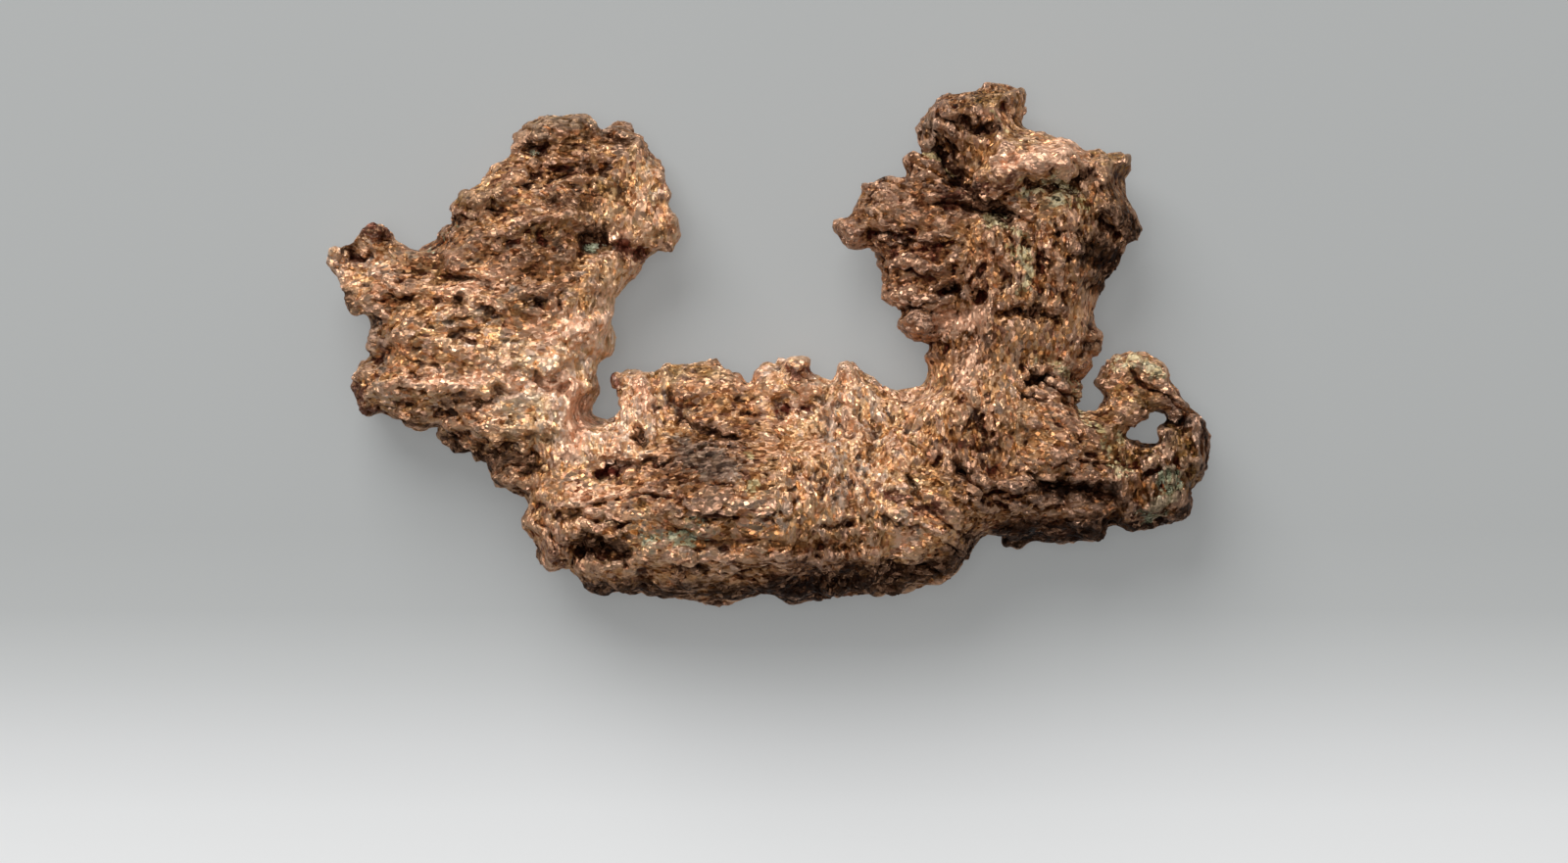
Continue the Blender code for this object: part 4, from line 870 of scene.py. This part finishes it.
def grain_frames(co):
    """For each grain direction: the points along and across it, and its share at each point."""
    weights = np.full((len(co), len(GRAIN_DIRECTIONS)), 1e-12)
    for x, y, direction in GRAIN.values():
        weights[:, GRAIN_DIRECTIONS.index(direction)] += nearness(co, x, y, GRAIN_BLEND)
    weights /= np.sqrt((weights**2).sum(1))[:, None]
    for column, direction in enumerate(GRAIN_DIRECTIONS):
        turn = math.radians(direction)
        along_grain = (co[:, 0] * math.cos(turn) + co[:, 1] * math.sin(turn)) / GRAIN_STRETCH
        across = co[:, 1] * math.cos(turn) - co[:, 0] * math.sin(turn)
        yield np.column_stack([along_grain, across, co[:, 2]]), weights[:, column]


def ledges(co, size, seed):
    """Broken steps, each rising gently and dropping off steeply towards -Y, from 0 to 1."""
    wander = sum(far * lumpy(co, size * wide, seed + k) for k, (far, wide) in enumerate(LEDGE_WANDER))
    phase = (co[:, 1] / size + wander) % 1
    depth, width = LEDGE_GROOVE
    groove = depth * np.exp(-((np.minimum(phase, 1 - phase) / width) ** 2))
    step = np.minimum(1 - phase, phase * LEDGE_DROP) - groove
    patch_size, usual, contrast = LEDGE_PATCHES
    return step * np.clip(usual + contrast * lumpy(co, size * patch_size, seed + 2), 0, 1)


def creased(co, size, seed):
    """Flat facets that meet in sharp creases, as in crumpled foil, from about -1 to 1."""
    far, wide = CREASE_WANDER
    warp = np.column_stack([lumpy(co, size * wide, seed + k) for k in range(3)])
    moved = co / size + far * warp
    height = np.zeros(len(co))
    for way in CREASE_WAYS:
        height += 4 * np.abs((moved @ np.array(way)) % 1 - 0.5) - 1
    return height / 2


def grains(co, size, seed):
    """Cells with flat tops tilted each its own way, from about -1 to 1."""
    sampled = co / size + seed * GRAIN_OFFSET
    nearest = np.array([noise.voronoi(p)[1][0][:] for p in sampled.tolist()])
    random = (np.sin(nearest @ HASH.T) * HASH_GAIN) % 1 * 2 - 1
    tilt = random[:, :3]
    return ((sampled - nearest) * tilt).sum(1) * GRAIN_TILT + GRAIN_STEP * random[:, 3]


def uprightness(co):
    """How much of the grain runs up and down in Y, from 0 to 1."""
    shares = [share**2 for sampled, share in grain_frames(co)]
    return sum(share for share, direction in zip(shares, GRAIN_DIRECTIONS) if direction in UPRIGHT_DIRECTIONS)


def hackly(co):
    """The fine skin's height at each point."""
    height = np.zeros(len(co))
    patch_size, usual, contrast, patch_seed = ROUGH_PATCHES
    patches = np.clip(usual + contrast * lumpy(co, patch_size, patch_seed), *ROUGH_RANGE)
    for (sampled, share), ledge_share in zip(grain_frames(co), LEDGE_SHARES):
        used = np.flatnonzero(share > LEAST_SHARE)
        part = sampled[used]
        fine = ledge_share * sum(amount * ledges(part, size, seed) for size, amount, seed in LEDGES)
        fine = fine + sum(amount * creased(part, size, seed) for size, amount, seed in CREASED)
        fine = fine * patches[used]
        fine = fine + sum(amount * grains(part, size, seed) for size, amount, seed in GRAINS)
        height[used] += share[used] * fine
    return height


def placed(co, low, high):
    """The points in metres, fitted to the CAD node's box, flat where they rest."""
    own_low, own_high = co.min(0), co.max(0)
    size = (high[0] - low[0]) / (own_high[0] - own_low[0])
    moved = (co - (own_low + own_high) / 2) * size
    moved[:, :2] += (np.array(low[:2]) + np.array(high[:2])) / 2
    below, above = TOP_MARGIN
    start = high[2] - below * MM
    span = (below + above) * MM
    level = co[:, 2] * size
    over = np.maximum(level - start, 0)
    pressed = start + span * (1 - np.exp(-over / span))
    moved[:, 2] = np.maximum(np.where(over > 0, pressed, level), 0)
    return moved


def cavity(mesh, co, facing):
    """How deep each point lies in a fine or broad hollow: over 0.5 in a hollow, under 0.5 on a ridge."""
    ends = np.empty(len(mesh.edges) * 2, dtype=np.int64)
    mesh.edges.foreach_get("vertices", ends)
    a, b = ends.reshape(-1, 2).T
    total = len(co)
    neighbours = np.bincount(a, minlength=total) + np.bincount(b, minlength=total)
    smooth = co
    value = np.full(total, 0.5)
    for done in range(1, max(CAVITY_ROUNDS) + 1):
        sums = [np.bincount(a, smooth[b, k], total) + np.bincount(b, smooth[a, k], total) for k in range(3)]
        smooth = np.column_stack([axis / neighbours for axis in sums])
        if done in CAVITY_ROUNDS:
            value += CAVITY_GAINS[CAVITY_ROUNDS.index(done)] * ((smooth - co) * facing).sum(1)
    return np.clip(value, 0, 1)


def add_mask(mesh, name, values):
    attribute = mesh.attributes.new(name, "FLOAT", "POINT")
    attribute.data.foreach_set("value", np.ascontiguousarray(values, dtype=np.float32))


def rough_form(loops):
    """The nugget's form with its lumps, ledges and pits, without the fine skin."""
    slab = slab_mesh(loops)
    co = vertices(slab)
    move_vertices(slab, rounded(co, rim_distance(loops, co)))
    form = remeshed(slab, SKIN_VOXEL)
    co = vertices(form)
    move_vertices(form, rough(co, normals(form), rim_distance(loops, co)))
    move_vertices(form, with_relief(vertices(form), normals(form)))
    return form


def add_masks(skin, co, facing, zones, flat_ragged):
    """The masks that the material reads. Zones and pits lie on the top alone."""
    gain, start = TOP_MASK
    on_top = np.clip(facing[:, 2] * gain + start, 0, 1)
    # The hollow mask places painted shade in the hollows and painted highlight on the ridges.
    add_mask(skin, "hollow", cavity(skin, co, facing))
    add_mask(skin, "tarnish_and_shading", blended(TARNISH_AND_SHADING, flat_ragged, TARNISH_AND_SHADING_BLEND))
    add_mask(skin, "upright", uprightness(co))
    # The pit mask paints shade into the pits, darkest where they are deepest.
    pits = [(half_width, -depth, places) for half_width, depth, places in RELIEF.values() if depth < 0]
    add_mask(skin, "pit", strokes(pits, flat_ragged, np.maximum) * on_top)
    for name, zone in zones.items():
        add_mask(skin, name, zone * on_top)


def thinned(skin, facing):
    """The skin with fewer triangles, and fewest of all on the underside."""
    skin = with_modifier(skin, "TRIANGULATE")
    steepest, least = UNDERSIDE_WEIGHTS
    under = np.clip(steepest - facing[:, 2], least, 1)
    return with_modifier(skin, "DECIMATE", weights=under, vertex_group="part", vertex_group_factor=TOP_SPARED,
                         ratio=min(1, TRIANGLES / len(skin.polygons)))


def nugget_mesh():
    loops = outline_loops()
    skin = remeshed(rough_form(loops), FINE_VOXEL)
    co, facing = vertices(skin), normals(skin)
    distance = rim_distance(loops, co)
    flat_ragged = ragged(co)
    zones = {name: strokes(rows, flat_ragged, np.maximum) for name, rows in ZONES.items()}
    height = hackly(co) * (1 - BARE_CALM * np.clip(zones["bare"], 0, 1))
    co = co + facing * height[:, None] * sideways_share(distance, FINE_RIM_SHARE)
    co[:, 2] = np.maximum(co[:, 2], 0)
    move_vertices(skin, co)
    add_masks(skin, co, facing, zones, flat_ragged)
    skin = thinned(skin, facing)
    low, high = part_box(NODE)
    move_vertices(skin, placed(vertices(skin), low, high))
    return skin


class Shading:
    """Short calls for making a material's nodes."""

    def __init__(self, name):
        self.material = bpy.data.materials.new(name)
        self.material.use_nodes = True
        self.tree = self.material.node_tree
        self.shader = self.tree.nodes["Principled BSDF"]

    def plug(self, socket, value):
        if isinstance(value, bpy.types.NodeSocket):
            self.tree.links.new(value, socket)
        elif isinstance(value, (int, float)) or socket.type != "RGBA" or len(value) == 4:
            socket.default_value = value
        else:
            socket.default_value = (*value, 1.0)

    def surface(self, **inputs):
        """The shader's own inputs, linked or set to a constant."""
        for name, value in inputs.items():
            self.plug(self.shader.inputs[name.replace("_", " ")], value)

    def node(self, kind, output=0, settings=(), **inputs):
        made = self.tree.nodes.new(kind)
        for name, value in dict(settings).items():
            setattr(made, name, value)
        for name, value in inputs.items():
            self.plug(made.inputs[name.replace("_", " ")], value)
        return made.outputs[output]

    def mask(self, name):
        return self.node("ShaderNodeAttribute", "Fac", {"attribute_name": name})

    def math(self, operation, *values, clamp=False):
        made = self.tree.nodes.new("ShaderNodeMath")
        made.operation = operation
        made.use_clamp = clamp
        for socket, value in zip(made.inputs, values):
            self.plug(socket, value)
        return made.outputs[0]

    def vector(self, operation, first, second):
        made = self.tree.nodes.new("ShaderNodeVectorMath")
        made.operation = operation
        self.plug(made.inputs[0], first)
        self.plug(made.inputs[1], second)
        return made.outputs["Value" if operation == "DOT_PRODUCT" else "Vector"]

    def total(self, *weighted):
        """The sum of the values, each times its weight."""
        result = 0.0
        for value, weight in weighted:
            result = self.math("ADD", result, self.math("MULTIPLY", value, weight))
        return result

    def blend(self, share, first, second):
        made = self.tree.nodes.new("ShaderNodeMix")
        self.plug(made.inputs["Factor"], share)
        self.plug(made.inputs[2], first)
        self.plug(made.inputs[3], second)
        return made.outputs[0]

    def between(self, value, low, high, new_low=0.0, new_high=1.0):
        """The value carried smoothly from low..high to new_low..new_high."""
        made = self.tree.nodes.new("ShaderNodeMapRange")
        made.interpolation_type = "SMOOTHSTEP"
        for socket, given in zip(made.inputs[:5], (value, low, high, new_low, new_high)):
            self.plug(socket, given)
        return made.outputs[0]

    def mix(self, share, first, second):
        """One colour laid over another by its share."""
        made = self.tree.nodes.new("ShaderNodeMix")
        made.data_type = "RGBA"
        self.plug(made.inputs["Factor"], share)
        self.plug(made.inputs[6], first)
        self.plug(made.inputs[7], second)
        return made.outputs[2]

    def ramp(self, value, stops):
        made = self.tree.nodes.new("ShaderNodeValToRGB")
        self.plug(made.inputs[0], value)
        elements = made.color_ramp.elements
        while len(elements) < len(stops):
            elements.new(0.5)
        for element, (place, colour) in zip(elements, stops):
            element.position = place
            element.color = (*colour, 1.0)
        return made.outputs[0]


# The flakes seen in the metal, from coarse to fine: (size, how steeply they tilt).
FLAKES = [(0.6, 2.0), (0.32, 2.2)]
FLAKE_STRETCH = 1.7
STANDING = (0.35, 0.65)     # from what share of upright grain the flakes stand, and where they all do

# Noise in the metal: (size, detail, roughness). The one named other is read this far off, in metres.
NOISES = {"broad": (6.0, 4.0, 0.6), "other": (3.1, 4.0, 0.6), "middle": (1.5, 5.0, 0.68),
          "fine": (0.3, 2.0, 0.6)}
OTHER_SHIFT = (0.3, 0.1, 0.2)

POLISH_AND_SHADING = (0.3, 0.18)        # under what tarnish the metal is paler, and how much, for each step of tarnish; through the map this also paints highlight and shade
TONE_SHARES = (0.27, 0.23, 0.5)       # of coarse flakes, fine flakes and middle noise in the metal's tone
EDGE_SHARES = (1.1, 0.35, 0.55)       # of middle noise, fine flakes and fine noise in broken edges
BREAKS = {"tarnish_and_shading": 1.2, "crevice": 0.6, "pit": 1.6, "crust": 2.2}     # how much noise breaks up a layer
ZONE_BREAK = 1.0

# The colours of metal, pits and crusts, from the darkest tone to the palest: (tone, colour).
TONES = {
    "pink": [(0.26, (0.27, 0.085, 0.028)), (0.38, (0.58, 0.255, 0.11)), (0.50, (0.82, 0.455, 0.245)),
             (0.62, (0.92, 0.605, 0.395)), (0.78, (0.98, 0.78, 0.62))],
    "orange": [(0.26, (0.24, 0.08, 0.016)), (0.38, (0.57, 0.26, 0.093)), (0.50, (0.80, 0.46, 0.21)),
               (0.64, (0.92, 0.62, 0.365)), (0.80, (0.98, 0.80, 0.59))],
    "umber": [(0.26, (0.085, 0.03, 0.010)), (0.42, (0.27, 0.125, 0.046)), (0.56, (0.48, 0.28, 0.13)),
              (0.77, (0.74, 0.52, 0.31))],
    "mauve": [(0.28, (0.08, 0.04, 0.034)), (0.45, (0.28, 0.18, 0.15)), (0.6, (0.50, 0.38, 0.32)),
              (0.78, (0.80, 0.68, 0.59))],
    # Tarnish, and painted shade where the map stands for shade, as along the bar's lower rim.
    "tarnish_and_shading": [(0.30, (0.018, 0.004, 0.0015)), (0.39, (0.060, 0.017, 0.006)), (0.47, (0.24, 0.088, 0.031)),
                (0.56, (0.56, 0.315, 0.18)), (0.66, (0.84, 0.56, 0.40))],
    "olive": [(0.3, (0.10, 0.06, 0.015)), (0.5, (0.33, 0.18, 0.045)), (0.7, (0.56, 0.36, 0.14))],
    "grey": [(0.3, (0.055, 0.043, 0.034)), (0.5, (0.18, 0.155, 0.13)), (0.7, (0.42, 0.385, 0.34))],
    # Near black: painted shade in the pits.
    "pit": [(0.4, (0.016, 0.0015, 0.001)), (0.6, (0.055, 0.010, 0.004)), (0.75, (0.14, 0.045, 0.020))],
    "red": [(0.3, (0.02, 0.002, 0.002)), (0.6, (0.12, 0.02, 0.012)), (0.75, (0.34, 0.10, 0.06))],
    # Dark tarnish and painted shade.
    "dark": [(0.36, (0.009, 0.0028, 0.0013)), (0.46, (0.032, 0.010, 0.004)), (0.54, (0.10, 0.038, 0.016)),
             (0.63, (0.50, 0.28, 0.17))],
    "green": [(0.3, (0.10, 0.11, 0.06)), (0.45, (0.30, 0.32, 0.20)), (0.58, (0.50, 0.52, 0.36)),
              (0.72, (0.68, 0.69, 0.51))],
    "cream": [(0.3, (0.10, 0.07, 0.02)), (0.40, (0.38, 0.28, 0.12)), (0.50, (0.68, 0.54, 0.29)),
              (0.66, (0.90, 0.78, 0.50))],
}
BARE = [(0.95, 0.48, 0.29), (1.0, 0.70, 0.50)]     # from the dark flakes to the pale ones
# Pale copper on the ridges: worn metal and painted highlight.
WORN_AND_HIGHLIGHT = (0.90, 0.60, 0.44)
# Near black in the hollows: painted shade, with dark oxide.
CREVICE_SHADE_AND_OXIDE = (0.045, 0.007, 0.003)

# Patches of other tints on the pink metal: the noise that places them, the coarse flakes' share in it,
# and from where to where in the sum, and to what strength, they set in.
TINTS = {
    "orange": ("broad", 0.25, (0.42, 0.56, 0.0, 1.0)),
    "umber": ("other", 0.2, (0.52, 0.64, 0.0, 0.8)),
    "mauve": ("other", 0.4, (0.42, 0.34, 0.0, 0.5)),
}
# The layers on the bright metal, from the lowest up: from where to where each sets in, and how much of the
# metal it covers then.
LAYERS = {
    # Tarnish, with the painted shade and highlight that the map holds.
    "tarnish_and_shading": (0.2, 1.05, 0.93),
    "bare": (0.2, 0.9, 0.9),
    "olive": (0.25, 0.7, 0.6),
    "grey": (0.25, 0.7, 0.55),
    # On the ridges, where the hollow mask is low: wear and painted highlight.
    "worn": (0.42, 0.15, 0.3),
    # In the hollows: painted shade, with dark oxide.
    "crevice": (0.62, 0.92, 1.0),
    # Painted shade in the pits.
    "pit": (0.6, 1.5, 0.95),
    "red": (0.25, 0.7, 0.85),
    # Dark tarnish and painted shade.
    "dark": (0.25, 0.7, 0.9),
    "green": (0.4, 0.75, 0.85),
    "cream": (0.4, 0.7, 0.9),
}
DULL = {"green": 1.0, "cream": 1.0, "grey": 0.5, "dark": 0.4}     # how much of the shine a layer takes away

# Values carried smoothly from one range to another: (low, high, new low, new high).
DEPTH_BY_BARE = (0.0, 1.0, 1.0, 0.6)            # of the painted shade in the crevices
DEPTH_BY_TARNISH_AND_SHADING = (-0.4, 0.7, 0.6, 0.95)
SETTLED_BY_HOLLOW = (0.3, 0.6, 0.5, 1.0)        # green crust, thicker in hollows
BUMP_BY_TARNISH_AND_SHADING = (-0.6, 0.6, 0.65, 1.0)
METALLIC_BY_DULL = (0.0, 1.0, 0.8, 0.0)
ROUGHNESS_BY_FLAKE = (0.1, 0.9, 0.41, 0.66)
DULL_ROUGHNESS = 0.3
SPECULAR = 0.1


class Copper(Shading):
    """The nugget's material, with the values that its layers share."""

    def __init__(self):
        super().__init__("hackly_copper")
        self.where = self.node("ShaderNodeTexCoord", "Object")
        self.noises = {name: self.noise(name) for name in NOISES}
        coarse, fine = self.flake_layers()
        self.heights = (coarse[0], fine[0])
        self.hue = coarse[2]
        self.fine_value = fine[1]
        self.hollow = self.mask("hollow")
        self.tarnish_and_shading = self.mask("tarnish_and_shading")
        middle = self.noises["middle"]
        edge_parts = (middle, self.fine_value, self.noises["fine"])
        self.uneven = self.math("SUBTRACT", middle, 0.5)
        self.ragged = self.math("SUBTRACT", self.total(*zip(edge_parts, EDGE_SHARES)), 1.0)
        bright_under, gain = POLISH_AND_SHADING
        polish_and_shading = self.math("MULTIPLY", self.math("SUBTRACT", bright_under, self.tarnish_and_shading), gain)
        tone_parts = (coarse[1], self.fine_value, middle)
        self.tone = self.math("ADD", self.total(*zip(tone_parts, TONE_SHARES)), polish_and_shading)

    def noise(self, name):
        size, detail, roughness = NOISES[name]
        where = self.vector("ADD", self.where, OTHER_SHIFT) if name == "other" else self.where
        return self.node("ShaderNodeTexNoise", "Fac", Vector=where, Scale=1 / (size * MM),
                         Detail=detail, Roughness=roughness)

    def flakes(self, where, tilt):
        """Height and two random values of small flat flakes that each tilt their own way."""
        cells = self.tree.nodes.new("ShaderNodeTexVoronoi")
        self.plug(cells.inputs["Vector"], where)
        self.plug(cells.inputs["Scale"], 1.0)
        offset = self.vector("SUBTRACT", where, cells.outputs["Position"])
        lean = self.vector("SUBTRACT", cells.outputs["Color"], (0.5, 0.5, 0.5))
        height = self.math("MULTIPLY", self.vector("DOT_PRODUCT", offset, lean), tilt)
        parts = self.tree.nodes.new("ShaderNodeSeparateColor")
        self.plug(parts.inputs["Color"], cells.outputs["Color"])
        return height, parts.outputs[1], parts.outputs[2]

    def flake_layers(self):
        """The flakes of each size, drawn out along the grain."""
        upright = self.between(self.mask("upright"), *STANDING)
        stretches = [(1 / FLAKE_STRETCH, 1, 1), (1, 1 / FLAKE_STRETCH, 1)]
        ways = [self.vector("MULTIPLY", self.where, stretch) for stretch in stretches]
        for size, tilt in FLAKES:
            scale = (1 / (size * MM),) * 3
            pair = [self.flakes(self.vector("MULTIPLY", way, scale), tilt) for way in ways]
            yield [self.blend(upright, lying, standing) for lying, standing in zip(*pair)]

    def shaken(self, value, shake, amount):
        """The value with noise added, so that its edges break up."""
        return self.math("ADD", value, self.math("MULTIPLY", shake, amount))

    def bright_metal(self):
        colour = self.ramp(self.tone, TONES["pink"])
        for name, (noise_name, own, limits) in TINTS.items():
            patches = self.total((self.hue, own), (self.noises[noise_name], 1 - own))
            colour = self.mix(self.between(patches, *limits), colour, self.ramp(self.tone, TONES[name]))
        return colour

    def presence(self, name):
        """How strongly a layer is there, with broken edges. Crusts have no flecks outside their zone."""
        # Wear and painted highlight lie on the ridges.
        if name == "worn":
            return self.hollow
        if name == "tarnish_and_shading":
            return self.shaken(self.tarnish_and_shading, self.uneven, BREAKS["tarnish_and_shading"])
        if name == "crevice":
            return self.shaken(self.hollow, self.uneven, BREAKS["crevice"])
        if name in ("green", "cream"):
            return self.math("MULTIPLY", self.mask(name), self.shaken(1.0, self.ragged, BREAKS["crust"]))
        return self.shaken(self.mask(name), self.ragged, BREAKS.get(name, ZONE_BREAK))

    def shares(self):
        """How much there is of each layer, from 0 to 1."""
        shares = {}
        for name, (low, high, _) in LAYERS.items():
            shares[name] = self.between(self.presence(name), low, high)
        # The painted shade in the crevices is lighter on bare metal and deeper where the map of tarnish and
        # shade is high.
        depth = self.math("MULTIPLY", self.between(shares["bare"], *DEPTH_BY_BARE),
                          self.between(self.tarnish_and_shading, *DEPTH_BY_TARNISH_AND_SHADING))
        settled = self.between(self.hollow, *SETTLED_BY_HOLLOW)
        shares["crevice"] = self.math("MULTIPLY", shares["crevice"], depth)
        shares["green"] = self.math("MULTIPLY", shares["green"], settled)
        return shares

    def layer_colour(self, name):
        if name == "bare":
            return self.mix(self.fine_value, *BARE)
        plain = {"worn": WORN_AND_HIGHLIGHT, "crevice": CREVICE_SHADE_AND_OXIDE}
        return plain[name] if name in plain else self.ramp(self.tone, TONES[name])

    def dullness(self, shares):
        dull = 0.0
        for name, amount in DULL.items():
            dull = self.math("MAXIMUM", dull, self.math("MULTIPLY", shares[name], amount))
        return dull

    def flake_normal(self):
        """The flakes as bump, the fine ones on the coarse ones, and lower where the tarnish and shading map
        is low: on polished metal and where highlight is painted.
        """
        normal = None
        for (size, _), height in zip(FLAKES, self.heights):
            bump = self.tree.nodes.new("ShaderNodeBump")
            self.plug(bump.inputs["Strength"], self.between(self.tarnish_and_shading, *BUMP_BY_TARNISH_AND_SHADING))
            self.plug(bump.inputs["Distance"], size * MM)
            self.plug(bump.inputs["Height"], height)
            if normal is not None:
                self.plug(bump.inputs["Normal"], normal)
            normal = bump.outputs[0]
        return normal


def hackly_copper():
    s = Copper()
    shares = s.shares()
    colour = s.bright_metal()
    for name, (_, _, cover) in LAYERS.items():
        colour = s.mix(s.math("MULTIPLY", shares[name], cover), colour, s.layer_colour(name))
    dull = s.dullness(shares)
    metal_roughness = s.between(s.fine_value, *ROUGHNESS_BY_FLAKE)
    roughness = s.math("ADD", metal_roughness, s.math("MULTIPLY", dull, DULL_ROUGHNESS), clamp=True)
    s.surface(Base_Color=colour, Metallic=s.between(dull, *METALLIC_BY_DULL), Roughness=roughness,
              Specular_IOR_Level=SPECULAR, Normal=s.flake_normal())
    return s.material


def nugget():
    mesh = nugget_mesh()
    mesh.name = "hackly_nugget"
    mesh.materials.clear()
    mesh.materials.append(hackly_copper())
    mesh.shade_smooth()
    mesh.set_sharp_from_angle(angle=math.radians(CREASE_ANGLE))
    piece = linked("hackly_nugget", mesh)
    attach(piece, "root")
    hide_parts(NODE)


# The camera looks straight down. The frame is 1600 by 881 pixels, and a pixel is MM_PER_PIXEL wide at the
# nugget's mid-height.
FRAME_PIXELS = (1600, 881)
MM_PER_PIXEL = 0.106
NUGGET_MIDDLE_PIXEL = (785, 352)
LENS = 100
SENSOR = 36
MID_HEIGHT = 7.5
CLIP_START = 0.01      # metres


def camera():
    data = bpy.data.cameras.new("camera")
    data.lens = LENS
    data.sensor_width = SENSOR
    data.clip_start = CLIP_START
    view_width = FRAME_PIXELS[0] * MM_PER_PIXEL
    made = linked("camera", data)
    made.location = (
        (FRAME_PIXELS[0] / 2 - NUGGET_MIDDLE_PIXEL[0]) * MM_PER_PIXEL * MM,
        (NUGGET_MIDDLE_PIXEL[1] - FRAME_PIXELS[1] / 2) * MM_PER_PIXEL * MM,
        (view_width * LENS / SENSOR + MID_HEIGHT) * MM,
    )
    bpy.context.scene.camera = made


# From here on, in metres.
FLOOR_LEVEL = -0.02 * MM
FLOOR_HALF = 3.0
FLOOR_GLOW = 0.4       # the floor is a light table: this share of its brightness is its own
# The floor's colour and glow carry a painted fall-off of light, darker towards +Y.
FADE_START = -0.06     # in Y, where the floor starts to darken towards +Y
FADE_LENGTH = 0.05
FLOOR_TONES = [        # (share of the fade, colour)
    (0.0, (0.79, 0.80, 0.805)), (0.18, (0.74, 0.75, 0.755)), (0.33, (0.65, 0.66, 0.665)),
    (0.48, (0.535, 0.547, 0.548)), (0.62, (0.445, 0.457, 0.457)), (0.8, (0.415, 0.427, 0.427))]

# The sky is brighter towards +Y. The lights are round and aim at the nugget: (place, size, power in watts).
SKY_STRENGTH = {"From Min": -0.8, "From Max": 0.9, "To Min": 0.07, "To Max": 0.55}
SKY_COLOUR = (1.0, 0.985, 0.96, 1)
LIGHTS = {"key": ((-0.35, 0.8, 0.65), 0.9, 12.5), "top": ((-0.1, 0.0, 1.2), 0.5, 2.8)}


def floor():
    mesh = bpy.data.meshes.new("floor")
    low, high = -FLOOR_HALF, FLOOR_HALF
    corners = [(low, low), (high, low), (high, high), (low, high)]
    mesh.from_pydata([(x, y, FLOOR_LEVEL) for x, y in corners], [], [(0, 1, 2, 3)])
    s = Shading("pale_floor")
    place = s.node("ShaderNodeSeparateXYZ", "Y", Vector=s.node("ShaderNodeTexCoord", "Object"))
    fade = s.math("MULTIPLY", s.math("SUBTRACT", place, FADE_START), 1 / FADE_LENGTH, clamp=True)
    pale = s.ramp(fade, FLOOR_TONES)
    s.surface(Base_Color=s.mix(FLOOR_GLOW, pale, (0, 0, 0)), Roughness=0.9, Specular_IOR_Level=0.1,
              Emission_Color=pale, Emission_Strength=FLOOR_GLOW)
    mesh.materials.append(s.material)
    linked("floor", mesh)


def area_light(name, place, size, power):
    data = bpy.data.lights.new(name, "AREA")
    data.shape = "DISK"
    data.size = size
    data.energy = power
    made = linked(name, data)
    made.location = place
    made.rotation_euler = (-Vector(place)).to_track_quat("-Z", "Y").to_euler()


def sky():
    world = bpy.data.worlds.new("studio")
    bpy.context.scene.world = world
    world.use_nodes = True
    nodes, links = world.node_tree.nodes, world.node_tree.links
    direction = nodes.new("ShaderNodeTexCoord")
    axes = nodes.new("ShaderNodeSeparateXYZ")
    strength = nodes.new("ShaderNodeMapRange")
    for name, value in SKY_STRENGTH.items():
        strength.inputs[name].default_value = value
    links.new(direction.outputs["Generated"], axes.inputs[0])
    links.new(axes.outputs["Y"], strength.inputs["Value"])
    links.new(strength.outputs[0], nodes["Background"].inputs["Strength"])
    nodes["Background"].inputs["Color"].default_value = SKY_COLOUR


camera()
nugget()
floor()
sky()
for name, (place, size, power) in LIGHTS.items():
    area_light(name, place, size, power)

bpy.context.scene.view_settings.view_transform = "Standard"
